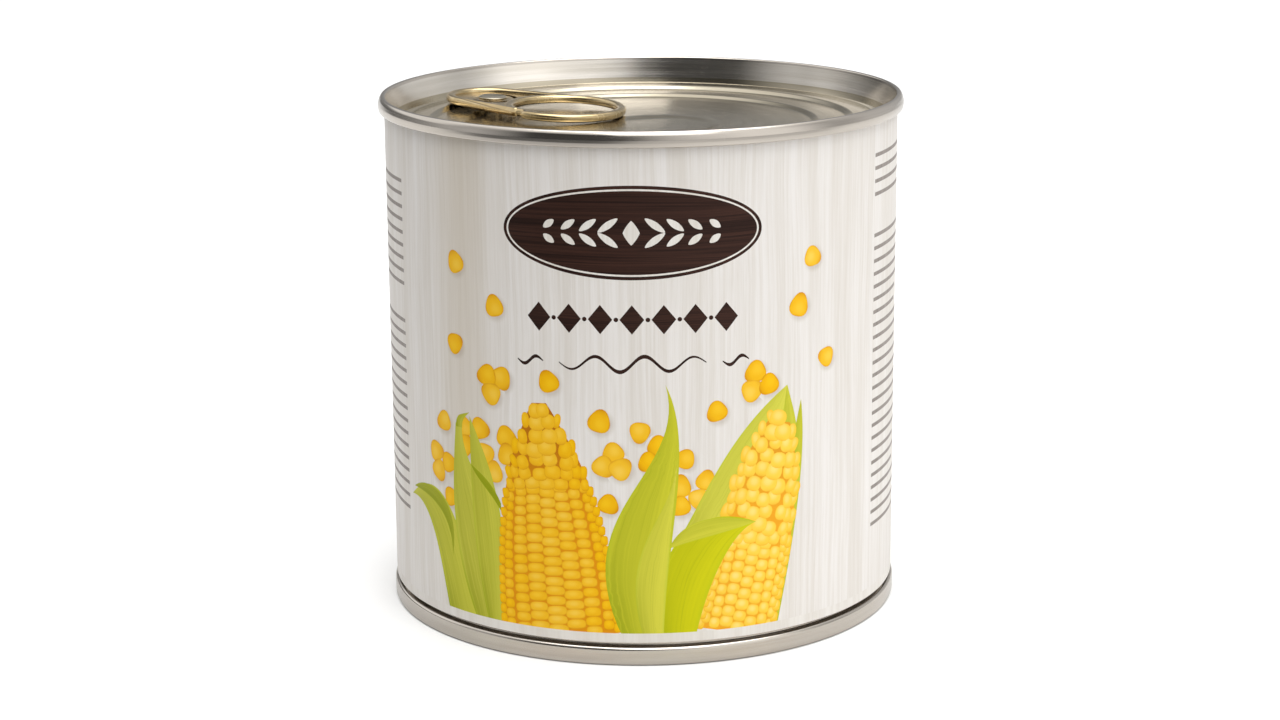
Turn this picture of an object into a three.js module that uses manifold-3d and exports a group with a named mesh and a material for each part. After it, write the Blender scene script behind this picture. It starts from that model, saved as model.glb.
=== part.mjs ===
// Can of sweet corn: a squat, full and unopened three-piece food can with a wrap-round paper label,
// a seamed ring-pull end on top and a smaller seamed end below.
// Millimetres, +Z up, origin at the centre of the ring that the can stands on.
import * as THREE from 'three';
import { mergeVertices } from 'three/addons/utils/BufferGeometryUtils.js';
import Module from 'manifold-3d';

const wasm = await Module();
wasm.setup();

// ---- driving dimensions -------------------------------------------------------------------------

const canHeight = 85;            // foot of the bottom seam to the top of the rim
const wallRadius = 41.9;         // outside of the tinplate wall
const labelRadius = 42.3;        // outside of the paper label
const labelThickness = 0.3;      // paper with its glue
const topSeamRadius = 43.3;
const topSeamHeight = 2.5;
const bottomSeamRadius = 42.6;   // smaller than the top seam, below a necked-in wall
const bottomSeamHeight = 3.0;
const seamRounding = 0.45;       // roll at the edges of both seams
const rimWidth = 1.25;           // top of the rim, from its outside to the chuck wall
const gap = 0.3;                 // kept between pieces that lie against each other

const chuckDepth = 3.6;          // how far the chuck wall drops before it curls into the countersink
const chuckFootRadius = 41.2;
const countersinkDepth = 4.9;
const countersinkOuterRadius = 40.65;
const countersinkInnerRadius = 40.1;
const outerPanelDepth = 4.2;     // flat ring that the score line runs round
const outerPanelRadius = 39.5;
const scoreRadius = 38.8;
const scoreDepth = 0.12;
const scoreHalfWidth = 0.15;
const middlePanelDepth = 4.8;    // first step down towards the centre
const middlePanelRadius = 34.6;
const centrePanelDepth = 5.3;    // second step down
const centrePanelRadius = 28.8;
const stepWidth = 0.9;
const topEndDepth = 5.7;         // underside of the top end

const footInnerRadius = 41.3;
const bottomPanelRise = 3.4;     // recess under the bottom end
const bottomPanelRadius = 39.4;
const bottomBeadRadius = 30;
const bottomBeadDrop = 0.6;
const bottomEndTop = 3.9;
const neckRadius = 41.2;
const neckFlare = 0.7;
const labelBottom = 3.8;
const labelTopClearance = 0.1;   // between the label's upper edge and the top seam

const tabBearing = THREE.MathUtils.degToRad(147.8);  // where the nose points, from +X
const tabNoseRadius = 38;        // the nose's distance from the can's axis
const tabNoseDepth = 2.5;        // top of the tab below the rim, at the nose
const tabRingDepth = 3.85;       // and at the far end of the ring
const tabThickness = 1.4;
const tabRounding = 0.4;
const noseArcRadius = 7.5;
const ringArcRadius = 10.3;
const fingerHoleRadius = 8.65;
const ringCentre = 22.93;        // from the nose, along the tab
const curlWidth = 1.65;          // rolled edge all round the tab
const webThickness = 0.45;       // flat sheet inside the nose
const webRise = 0.3;             // underside of the web above the tab's underside
const webLap = 0.6;              // how far the web runs into the rolled edge
const notchCentre = 19.6;        // from the nose, along the tab
const notchLength = 2.0;
const notchDepth = 1.0;
const rivetCentre = 8.0;         // from the nose, along the tab
const rivetShankRadius = 1.7;
const rivetHeadRadius = 2.5;
const rivetHeadHeight = 0.3;
const rivetHeadClearance = 0.15; // between the web and the rivet's head
const rivetHoleRadius = 2.1;
const rivetRoot = 0.3;           // how far the shank reaches into the panel

const roundSteps = 64;           // facets round the can
const seamSteps = 3;             // facets across each rolled edge of a seam
const tabCurveSteps = 22;
const tabRoundingSteps = 2;
const rivetSteps = 24;
const mergeDistance = 1e-4;      // vertices closer than this are one

// ---- helpers ------------------------------------------------------------------------------------

/** Points of an arc in a lathe profile, from one angle to another, both ends included. */
function arc(centreRadius, centreZ, radius, from, to) {
  return Array.from({ length: seamSteps + 1 }, (_, i) => {
    const angle = THREE.MathUtils.degToRad(from + ((to - from) * i) / seamSteps);
    return [centreRadius + radius * Math.cos(angle), centreZ + radius * Math.sin(angle)];
  });
}

/** A body turned about Z from a profile of [radius, z] points, listed with the material on the left. */
function turned(profile, steps = roundSteps) {
  const points = profile.map(([radius, z]) => new THREE.Vector2(radius, z));
  return new THREE.LatheGeometry(points, steps).rotateX(Math.PI / 2);
}

/** A manifold solid from a closed three.js geometry. */
function solidOf(geometry) {
  const bare = geometry.clone();
  bare.deleteAttribute('normal');
  bare.deleteAttribute('uv');
  const merged = mergeVertices(bare, mergeDistance);
  return new wasm.Manifold(new wasm.Mesh({
    numProp: 3,
    vertProperties: new Float32Array(merged.attributes.position.array),
    triVerts: new Uint32Array(merged.index.array),
  }));
}

/** A three.js geometry from a manifold solid. */
function geometryOf(solid) {
  const mesh = solid.getMesh();
  const geometry = new THREE.BufferGeometry();
  geometry.setAttribute('position', new THREE.BufferAttribute(mesh.vertProperties, 3));
  geometry.setIndex(new THREE.BufferAttribute(mesh.triVerts, 1));
  geometry.computeVertexNormals();
  return geometry;
}

/** A named mesh with its own finish. */
function piece(name, geometry, color, roughness, metalness) {
  const mesh = new THREE.Mesh(geometry, new THREE.MeshStandardMaterial({ color, roughness, metalness }));
  mesh.name = name;
  return mesh;
}

// ---- wall and label -----------------------------------------------------------------------------

/** The full can between its two ends: tinplate wall and contents as one solid. */
function wallGeometry() {
  const bottom = bottomEndTop + gap;
  const top = canHeight - topEndDepth - gap;
  return turned([
    [0, bottom], [neckRadius, bottom], [wallRadius, bottom + neckFlare], [wallRadius, top], [0, top],
  ]);
}

/** The paper sleeve round the wall. */
function labelGeometry() {
  const inner = labelRadius - labelThickness;
  const bottom = labelBottom;
  const top = canHeight - topSeamHeight - labelTopClearance;
  return turned([
    [inner, bottom], [labelRadius, bottom], [labelRadius, top], [inner, top], [inner, bottom],
  ]);
}

// ---- ends ---------------------------------------------------------------------------------------

/** How much the tab's top falls for each millimetre from its nose towards its ring. */
const tabSlope = (tabRingDepth - tabNoseDepth) / (ringCentre + ringArcRadius);

/** Where the tab's own frame stands: at the nose, X along the tab towards its ring. */
function tabFrame() {
  const nose = new THREE.Vector3(
    tabNoseRadius * Math.cos(tabBearing),
    tabNoseRadius * Math.sin(tabBearing),
    canHeight - tabNoseDepth - tabThickness,
  );
  const turn = new THREE.Matrix4().makeRotationZ(tabBearing + Math.PI);
  const tilt = new THREE.Matrix4().makeRotationY(Math.asin(tabSlope));
  return new THREE.Matrix4().setPosition(nose).multiply(turn).multiply(tilt);
}

/** The rivet that the end's own metal makes through the tab. */
function rivetSolid() {
  const distance = tabNoseRadius - rivetCentre;
  const tabUnderside = canHeight - tabNoseDepth - tabSlope * rivetCentre - tabThickness;
  const headBottom = tabUnderside + webRise + webThickness + rivetHeadClearance;
  const headTop = headBottom + rivetHeadHeight;
  const root = canHeight - centrePanelDepth - rivetRoot;
  const chamfer = rivetHeadHeight / 2;
  const rivet = turned([
    [0, root], [rivetShankRadius, root], [rivetShankRadius, headBottom],
    [rivetHeadRadius, headBottom], [rivetHeadRadius, headTop - chamfer],
    [rivetHeadRadius - chamfer, headTop], [0, headTop],
  ], rivetSteps);
  rivet.translate(distance * Math.cos(tabBearing), distance * Math.sin(tabBearing), 0);
  return solidOf(rivet);
}

/** The ring-pull end: seam, chuck wall, countersink, scored panel with two steps, and the rivet. */
function topEndGeometry() {
  const rim = canHeight;
  const seamFoot = rim - topSeamHeight;
  const innerRim = topSeamRadius - rimWidth;
  const profile = [
    [0, rim - topEndDepth],
    [wallRadius, rim - topEndDepth],
    [wallRadius, seamFoot],
    [topSeamRadius - seamRounding, seamFoot],
    [topSeamRadius, seamFoot + seamRounding],
    ...arc(topSeamRadius - seamRounding, rim - seamRounding, seamRounding, 0, 90),
    ...arc(innerRim + seamRounding, rim - seamRounding, seamRounding, 90, 180),
    [chuckFootRadius, rim - chuckDepth],
    [countersinkOuterRadius, rim - countersinkDepth],
    [countersinkInnerRadius, rim - countersinkDepth],
    [outerPanelRadius, rim - outerPanelDepth],
    [scoreRadius + scoreHalfWidth, rim - outerPanelDepth],
    [scoreRadius, rim - outerPanelDepth - scoreDepth],
    [scoreRadius - scoreHalfWidth, rim - outerPanelDepth],
    [middlePanelRadius + stepWidth / 2, rim - outerPanelDepth],
    [middlePanelRadius - stepWidth / 2, rim - middlePanelDepth],
    [centrePanelRadius + stepWidth / 2, rim - middlePanelDepth],
    [centrePanelRadius - stepWidth / 2, rim - centrePanelDepth],
    [0, rim - centrePanelDepth],
  ];
  return geometryOf(solidOf(turned(profile)).add(rivetSolid()));
}

/** The plain end below: its seam is the foot, and its panel is recessed with one bead. */
function bottomEndGeometry() {
  return turned([
    [0, bottomPanelRise],
    [bottomBeadRadius - stepWidth, bottomPanelRise],
    [bottomBeadRadius, bottomPanelRise - bottomBeadDrop],
    [bottomBeadRadius + stepWidth, bottomPanelRise],
    [bottomPanelRadius, bottomPanelRise],
    [footInnerRadius - seamRounding, seamRounding],
    [footInnerRadius, 0],
    ...arc(bottomSeamRadius - seamRounding, seamRounding, seamRounding, -90, 0),
    ...arc(bottomSeamRadius - seamRounding, bottomSeamHeight - seamRounding, seamRounding, 0, 90),
    [neckRadius, bottomSeamHeight],
    [neckRadius, bottomEndTop],
    [0, bottomEndTop],
  ]);
}

// ---- pull tab -----------------------------------------------------------------------------------

/** Half the angle by which the tab's straight sides open from nose to ring. */
const sideAngle = Math.asin((ringArcRadius - noseArcRadius) / (ringCentre - noseArcRadius));

/** Where the tab's arcs meet its straight side, as an angle about either arc's centre. */
const sideBearing = Math.PI / 2 + sideAngle;

/** Outline of the whole tab: two arcs and the straight sides that touch them. */
function tabOutline() {
  const outline = new THREE.Shape();
  outline.absarc(noseArcRadius, 0, noseArcRadius, sideBearing, 2 * Math.PI - sideBearing, false);
  outline.absarc(ringCentre, 0, ringArcRadius, -sideBearing, sideBearing, false);
  outline.closePath();
  return outline;
}

/** Outline inside the nose: one band in from the tab's edge, and one band clear of the finger hole. */
function noseOutline(path, band) {
  const ringClear = fingerHoleRadius + band;
  const meeting = sideBearing + Math.acos((ringArcRadius - band) / ringClear);
  path.absarc(noseArcRadius, 0, noseArcRadius - band, sideBearing, 2 * Math.PI - sideBearing, false);
  path.absarc(ringCentre, 0, ringClear, 2 * Math.PI - meeting, meeting, true);
  path.closePath();
  return path;
}

/** A block that cuts the notch in one side of the tab, side 1 or -1. */
function notchGeometry(side) {
  const sideOfNotch = (notchCentre - noseArcRadius) * Math.tan(sideAngle);
  const halfWidth = noseArcRadius / Math.cos(sideAngle) + sideOfNotch;
  const notch = new THREE.BoxGeometry(notchLength, 2 * notchDepth, 2 * tabThickness);
  return notch.rotateZ(side * sideAngle).translate(notchCentre, side * halfWidth, tabThickness / 2);
}

/** The tab: rolled edge, finger hole, flat web with the rivet's hole, and a notch on each side. */
function tabGeometry() {
  const rolled = tabOutline();
  const fingerHole = new THREE.Path();
  fingerHole.absarc(ringCentre, 0, fingerHoleRadius, 0, 2 * Math.PI, true);
  rolled.holes.push(fingerHole, noseOutline(new THREE.Path(), curlWidth));
  const curl = new THREE.ExtrudeGeometry(rolled, {
    depth: tabThickness - 2 * tabRounding, curveSegments: tabCurveSteps, bevelEnabled: true,
    bevelThickness: tabRounding, bevelSize: tabRounding, bevelOffset: -tabRounding,
    bevelSegments: tabRoundingSteps,
  });
  curl.translate(0, 0, tabRounding);

  const sheet = noseOutline(new THREE.Shape(), curlWidth - webLap);
  const rivetHole = new THREE.Path();
  rivetHole.absarc(rivetCentre, 0, rivetHoleRadius, 0, 2 * Math.PI, true);
  sheet.holes.push(rivetHole);
  const web = new THREE.ExtrudeGeometry(sheet, {
    depth: webThickness, curveSegments: tabCurveSteps, bevelEnabled: false,
  });
  web.translate(0, 0, webRise);

  const notches = [-1, 1].map((side) => solidOf(notchGeometry(side)));
  const whole = solidOf(curl).add(solidOf(web));
  return geometryOf(notches.reduce((solid, notch) => solid.subtract(notch), whole));
}

// ---- the can ------------------------------------------------------------------------------------

const can = new THREE.Group();
can.add(piece('can_wall', wallGeometry(), 0xb9b6ae, 0.35, 1.0));
can.add(piece('label', labelGeometry(), 0xe4dfd6, 0.55, 0.0));
can.add(piece('top_end', topEndGeometry(), 0xb4afa2, 0.3, 1.0));
can.add(piece('bottom_end', bottomEndGeometry(), 0xb0aca4, 0.33, 1.0));

const tabPlace = new THREE.Group();
tabPlace.applyMatrix4(tabFrame());
tabPlace.add(piece('pull_tab', tabGeometry(), 0xa89468, 0.32, 0.9));
can.add(tabPlace);

export default can;
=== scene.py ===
"""Squat ring-pull can of sweet corn: its looks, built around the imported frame.

Sizes are in millimetres until a mesh is made, and every mesh is in metres. The label's front
looks along -Y. A place on the label is given by its distance round the can from the front's
middle, to the right, and by its height.
"""

import logging
import math
import random
from dataclasses import dataclass
from enum import Enum, IntEnum
from itertools import product
from typing import Callable, Iterable, Iterator, Sequence

import bpy
import numpy as np
from bpy.types import Material, Mesh, Node, NodeSocket, NodeTree, Object
from mathutils import Matrix, Vector
from mathutils.geometry import delaunay_2d_cdt


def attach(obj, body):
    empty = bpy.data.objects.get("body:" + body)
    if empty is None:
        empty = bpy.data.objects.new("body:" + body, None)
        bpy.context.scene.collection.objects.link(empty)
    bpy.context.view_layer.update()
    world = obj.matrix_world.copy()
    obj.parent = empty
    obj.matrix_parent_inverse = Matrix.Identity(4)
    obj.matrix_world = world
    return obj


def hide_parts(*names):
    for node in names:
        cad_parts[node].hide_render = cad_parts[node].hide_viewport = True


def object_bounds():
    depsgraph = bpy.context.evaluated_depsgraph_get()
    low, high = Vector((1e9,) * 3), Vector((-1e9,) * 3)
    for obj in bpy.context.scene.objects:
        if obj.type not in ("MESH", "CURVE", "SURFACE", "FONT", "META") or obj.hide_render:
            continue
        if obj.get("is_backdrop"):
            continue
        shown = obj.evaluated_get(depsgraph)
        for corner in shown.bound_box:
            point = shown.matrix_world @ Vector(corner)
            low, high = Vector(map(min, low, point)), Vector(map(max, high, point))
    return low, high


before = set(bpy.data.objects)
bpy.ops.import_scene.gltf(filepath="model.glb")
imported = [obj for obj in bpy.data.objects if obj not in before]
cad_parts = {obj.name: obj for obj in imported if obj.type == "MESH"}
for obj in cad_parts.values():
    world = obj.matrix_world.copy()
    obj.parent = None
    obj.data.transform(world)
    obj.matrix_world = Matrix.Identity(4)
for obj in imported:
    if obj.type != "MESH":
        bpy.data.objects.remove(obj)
cad_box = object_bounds()

MM = 0.001
BODY = "root"
PHOTO_WIDTH = 1280
SENSOR_WIDTH = 36.0
NEARLY_STRAIGHT = math.radians(89)  # half the angle at a corner that needs no rounding
CUT_MARGIN = 1e-5  # millimetres within which points of a flat mesh are one

Colour = tuple[float, float, float, float]
Point = tuple[float, float]
Array = np.ndarray
Value = float | int | Sequence[float] | NodeSocket

log = logging.getLogger("can")


# ---- small helpers ----


def srgb(red: float, green: float, blue: float) -> Colour:
    """Linear colour of an sRGB one.

    Args:
        red: Red, 0 to 255.
        green: Green, 0 to 255.
        blue: Blue, 0 to 255.

    Returns:
        The colour as linear red, green, blue and alpha.
    """
    def linear(channel: float) -> float:
        """One channel, linear."""
        share = channel / 255
        return share / 12.92 if share <= 0.04045 else ((share + 0.055) / 1.055) ** 2.4

    return (linear(red), linear(green), linear(blue), 1.0)


def bezier(controls: Sequence, share: Array) -> Array:
    """Values of a cubic Bezier.

    Args:
        controls: Its four control values or control points.
        share: Where along it, 0 to 1.

    Returns:
        One value or point for each share.
    """
    weights = np.stack([
        (1 - share) ** 3,
        3 * share * (1 - share) ** 2,
        3 * share**2 * (1 - share),
        share**3,
    ], axis=-1)
    return weights @ np.asarray(controls, float)


def smooth_step(value: Array, low: float, high: float) -> Array:
    """0 below low, 1 above high, and a smooth rise between them."""
    share = np.clip((value - low) / (high - low), 0, 1)
    return share * share * (3 - 2 * share)


def rounded(corners: Iterable[tuple[float, float, float]], steps: int = 7) -> list[Point]:
    """A line with its corners rounded off.

    Args:
        corners: Its points, each as x, y and the radius of its rounding.
        steps: Facets across each rounding.

    Returns:
        The points of the line, its first and last as they were.
    """
    given = list(corners)
    line = [given[0][:2]]
    for before, corner, after in zip(given, given[1:], given[2:]):
        middle = Vector(corner[:2])
        arm_in = (Vector(before[:2]) - middle).normalized()
        arm_out = (Vector(after[:2]) - middle).normalized()
        half = arm_in.angle(arm_out) / 2
        if corner[2] <= 0 or half > NEARLY_STRAIGHT:
            line.append(tuple(middle))
            continue
        reach = corner[2] / math.tan(half)
        centre = middle + (arm_in + arm_out).normalized() * (corner[2] / math.sin(half))
        start = middle + arm_in * reach - centre
        end = middle + arm_out * reach - centre
        for step in range(steps + 1):
            line.append(tuple(centre + start.slerp(end, step / steps).normalized() * corner[2]))
    line.append(given[-1][:2])
    return line


def circle(centre: Point, radius: float, count: int) -> Array:
    """The corners of a round outline, counter-clockwise."""
    angle = np.arange(count) * 2 * math.pi / count
    return np.stack([np.cos(angle), np.sin(angle)], axis=1) * radius + np.asarray(centre)


def grey(level: float) -> Colour:
    """A colour of equal parts."""
    return (level, level, level, 1.0)


def towards(bearing: float) -> tuple[float, float, float]:
    """A level direction, from its bearing to the right of the front."""
    return (math.sin(bearing), -math.cos(bearing), 0.0)


def finished_piece(
    mesh: Mesh, name: str, replaced: Sequence[str] = ()
) -> Object:
    """Makes a mesh one of the can's pieces.

    Args:
        mesh: The mesh, in metres and in place.
        name: The piece's name.
        replaced: The CAD nodes that it stands for.

    Returns:
        The piece's object, riding on the can's body.
    """
    piece = bpy.data.objects.new(name, mesh)
    bpy.context.scene.collection.objects.link(piece)
    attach(piece, BODY)
    if replaced:
        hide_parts(*replaced)
    log.info("%s: %d faces", name, len(mesh.polygons))
    return piece


class Board:
    """Adds and wires the nodes of one tree, so that a finish reads as a short recipe."""

    MIX_INPUTS = (0, 6, 7)  # of a Mix node: the share and the two colours
    MIX_RESULT = 2

    def __init__(self, tree: NodeTree) -> None:
        """Takes the tree that the nodes go into."""
        self.tree = tree

    def node(self, kind: str, inputs: dict | None = None, **settings) -> Node:
        """Adds a node.

        Args:
            kind: Its type.
            inputs: Values or sockets for its inputs, by name or number.
            **settings: Its own settings.

        Returns:
            The node.
        """
        made = self.tree.nodes.new(kind)
        for setting, value in settings.items():
            setattr(made, setting, value)
        for key, value in (inputs or {}).items():
            self.feed(made.inputs[key], value)
        return made

    def feed(self, socket: NodeSocket, value: Value) -> None:
        """Links a socket to an input, or sets the input's value.

        Args:
            socket: The input.
            value: The socket to link, or the value to set.
        """
        if isinstance(value, NodeSocket):
            self.tree.links.new(value, socket)
        else:
            socket.default_value = value

    def maths(self, operation: str, *values: Value, clamp: bool = False) -> NodeSocket:
        """The result of a Math node.

        Args:
            operation: What it works out.
            *values: Values or sockets for its inputs, in order.
            clamp: Whether the result is kept from 0 to 1.

        Returns:
            The result.
        """
        made = self.node("ShaderNodeMath", operation=operation, use_clamp=clamp)
        for socket, value in zip(made.inputs, values):
            self.feed(socket, value)
        return made.outputs[0]

    def plus(self, first: Value, second: Value, clamp: bool = False) -> NodeSocket:
        """The sum of two values, kept from 0 to 1 if clamped."""
        return self.maths("ADD", first, second, clamp=clamp)

    def less(self, first: Value, second: Value, clamp: bool = False) -> NodeSocket:
        """The first value without the second, kept from 0 to 1 if clamped."""
        return self.maths("SUBTRACT", first, second, clamp=clamp)

    def times(self, first: Value, second: Value) -> NodeSocket:
        """The product of two values."""
        return self.maths("MULTIPLY", first, second)

    def size(self, value: Value) -> NodeSocket:
        """The value without its sign."""
        return self.maths("ABSOLUTE", value)

    def vector(self, operation: str, *values: Value) -> NodeSocket:
        """The result of a Vector Math node.

        Args:
            operation: What it works out.
            *values: Values or sockets for its inputs, in order.

        Returns:
            The result, a number for a length or a dot product.
        """
        made = self.node("ShaderNodeVectorMath", operation=operation)
        for socket, value in zip(made.inputs, values):
            self.feed(socket, value)
        single = operation in ("LENGTH", "DOT_PRODUCT")
        return made.outputs["Value"] if single else made.outputs["Vector"]

    def split(self, vector: Value) -> tuple[NodeSocket, ...]:
        """The three parts of a vector."""
        return tuple(self.node("ShaderNodeSeparateXYZ", {0: vector}).outputs)

    def joined(self, x: Value = 0.0, y: Value = 0.0, z: Value = 0.0) -> NodeSocket:
        """A vector from its three parts."""
        return self.node("ShaderNodeCombineXYZ", {0: x, 1: y, 2: z}).outputs[0]

    def blend(
        self, share: Value, first: Value, second: Value, mode: str = "MIX"
    ) -> NodeSocket:
        """A mix of two colours.

        Args:
            share: The second colour's share.
            first: The first colour.
            second: The second colour.
            mode: How they are mixed.

        Returns:
            The mixed colour.
        """
        made = self.node("ShaderNodeMix", data_type="RGBA", blend_type=mode)
        for number, value in zip(self.MIX_INPUTS, (share, first, second)):
            self.feed(made.inputs[number], value)
        return made.outputs[self.MIX_RESULT]

    def rise(
        self, value: Value, low: float, high: float, bottom: float = 0.0, top: float = 1.0
    ) -> NodeSocket:
        """A smooth rise, or a fall where top is below bottom.

        Args:
            value: What it follows.
            low: The value up to which the result is bottom.
            high: The value from which the result is top.
            bottom: The result where the value is low.
            top: The result where the value is high.

        Returns:
            The result.
        """
        made = self.node("ShaderNodeMapRange", interpolation_type="SMOOTHSTEP")
        for socket, given in zip(made.inputs, (value, low, high, bottom, top)):
            self.feed(socket, given)
        return made.outputs[0]

    def noise(
        self, vector: Value, scale: float = 1.0, detail: float = 2.0, roughness: float = 0.5
    ) -> NodeSocket:
        """Soft noise, about 0.5 on the average."""
        wanted = {"Vector": vector, "Scale": scale, "Detail": detail, "Roughness": roughness}
        return self.node("ShaderNodeTexNoise", wanted).outputs[0]

    def attribute(self, name: str) -> NodeSocket:
        """An attribute of the mesh, as a vector."""
        return self.node("ShaderNodeAttribute", attribute_name=name).outputs["Vector"]

    def place(self) -> NodeSocket:
        """The place on the object, in metres."""
        return self.node("ShaderNodeTexCoord").outputs["Object"]

    def group(self, tree: NodeTree, **inputs: Value) -> Node:
        """One use of a shader group.

        Args:
            tree: The group.
            **inputs: Its inputs by name.

        Returns:
            The group's node.
        """
        made = self.node("ShaderNodeGroup", node_tree=tree)
        for name, value in inputs.items():
            self.feed(made.inputs[name], value)
        return made

    def bump(self, height: Value, strength: float, depth_mm: float) -> NodeSocket:
        """A normal that a height raises or sinks."""
        wanted = {"Height": height, "Strength": strength, "Distance": depth_mm * MM}
        return self.node("ShaderNodeBump", wanted).outputs[0]


def new_material(name: str) -> tuple[Material, Board, Node]:
    """A material with a bare Principled shader.

    Args:
        name: Its name.

    Returns:
        The material, the board of its tree, and the shader.
    """
    material = bpy.data.materials.new(name)
    material.use_nodes = True
    material.node_tree.nodes.clear()
    board = Board(material.node_tree)
    shader = board.node("ShaderNodeBsdfPrincipled")
    board.node("ShaderNodeOutputMaterial", {"Surface": shader.outputs[0]})
    return material, board, shader


def new_group(
    name: str, inputs: dict[str, float | None], outputs: Sequence[str]
) -> tuple[NodeTree, Board, Node, Node]:
    """An empty shader group.

    Args:
        name: Its name.
        inputs: Its inputs with their values, None for a vector.
        outputs: Its outputs, all numbers.

    Returns:
        The group's tree, its board, and its input and output nodes.
    """
    tree = bpy.data.node_groups.new(name, "ShaderNodeTree")
    for key, value in inputs.items():
        kind = "NodeSocketVector" if value is None else "NodeSocketFloat"
        socket = tree.interface.new_socket(key, in_out="INPUT", socket_type=kind)
        if value is not None:
            socket.default_value = value
    for key in outputs:
        tree.interface.new_socket(key, in_out="OUTPUT", socket_type="NodeSocketFloat")
    board = Board(tree)
    return tree, board, board.node("NodeGroupInput"), board.node("NodeGroupOutput")


# ---- shared effects ----


class Effects:
    """The shader groups that more than one finish uses."""

    def __init__(self) -> None:
        """Builds each group once."""
        self.rolling = self._rolling_lines()
        self.handling = self._handling_wear()
        self.wood = self._wood_grain()
        self.fibre = self._paper_fibre()

    def _rolling_lines(self) -> NodeTree:
        """Fine lines left by rolls, along the first two parts of the given place."""
        tree, board, given, out = new_group(
            "rolling_lines", {"Place": None, "Pitch": 0.25}, ["Lines", "Bands"]
        )
        x, y, offset = board.split(given.outputs["Place"])
        across = board.maths("DIVIDE", offset, given.outputs["Pitch"])
        fine = board.noise(board.joined(x, y, across), detail=3.0, roughness=0.65)
        wide = board.noise(board.joined(x, y, board.times(across, 0.12)))
        board.feed(out.inputs["Lines"], fine)
        board.feed(out.inputs["Bands"], wide)
        return tree

    def _handling_wear(self) -> NodeTree:
        """Smudges, and sparse thin scratches."""
        tree, board, given, out = new_group(
            "handling_wear", {"Place": None, "Amount": 0.5}, ["Smudge", "Scratch"]
        )
        place, amount = given.outputs["Place"], given.outputs["Amount"]
        smudge = board.rise(board.noise(place, scale=70.0, detail=3.0, roughness=0.6), 0.35, 0.75)
        board.feed(out.inputs["Smudge"], board.times(smudge, amount))
        lean = board.vector("MULTIPLY", place, (1.0, 0.06, 0.06))
        threads = board.noise(lean, scale=2600.0, detail=1.0)
        thin = board.rise(board.size(board.less(threads, 0.5)), 0.0, 0.012, bottom=1.0, top=0.0)
        sparse = board.rise(board.noise(place, scale=190.0, detail=1.0), 0.62, 0.72)
        board.feed(out.inputs["Scratch"], board.times(board.times(thin, sparse), amount))
        return tree

    def _wood_grain(self) -> NodeTree:
        """Upright streaks of sawn wood, on the flat label's millimetres."""
        tree, board, given, out = new_group(
            "wood_grain", {"Flat": None, "Pitch": 1.0}, ["Streaks", "Pores"]
        )
        x, height, _ = board.split(given.outputs["Flat"])
        slow_place = board.joined(board.times(x, 0.05), board.times(height, 0.03))
        drift = board.noise(slow_place, detail=1.0)
        bent = board.plus(board.times(x, 1.6), board.times(drift, 3.0))
        across = board.maths("DIVIDE", bent, given.outputs["Pitch"])
        fine = board.noise(board.joined(across, board.times(height, 0.03)), detail=5.0, roughness=0.7)
        wide = board.noise(board.joined(board.times(across, 0.16), board.times(height, 0.01)))
        streaks = board.plus(board.times(fine, 0.6), board.times(wide, 0.4))
        board.feed(out.inputs["Streaks"], board.rise(streaks, 0.36, 0.64))
        pores = board.noise(board.joined(board.times(across, 3.0), board.times(height, 0.2)))
        board.feed(out.inputs["Pores"], board.rise(pores, 0.6, 0.78))
        return tree

    def _paper_fibre(self) -> NodeTree:
        """The faint tooth of coated paper."""
        tree, board, given, out = new_group("paper_fibre", {"Place": None}, ["Height"])
        place = given.outputs["Place"]
        coarse = board.noise(place, scale=900.0, detail=3.0, roughness=0.6)
        fine = board.noise(place, scale=4200.0)
        board.feed(out.inputs["Height"], board.plus(coarse, board.times(fine, 0.4)))
        return tree


# ---- finishes ----


class Run(Enum):
    """Which way the rolling lines of a sheet of metal run."""

    ROUND = "round the can"
    STRAIGHT = "straight across"


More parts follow.
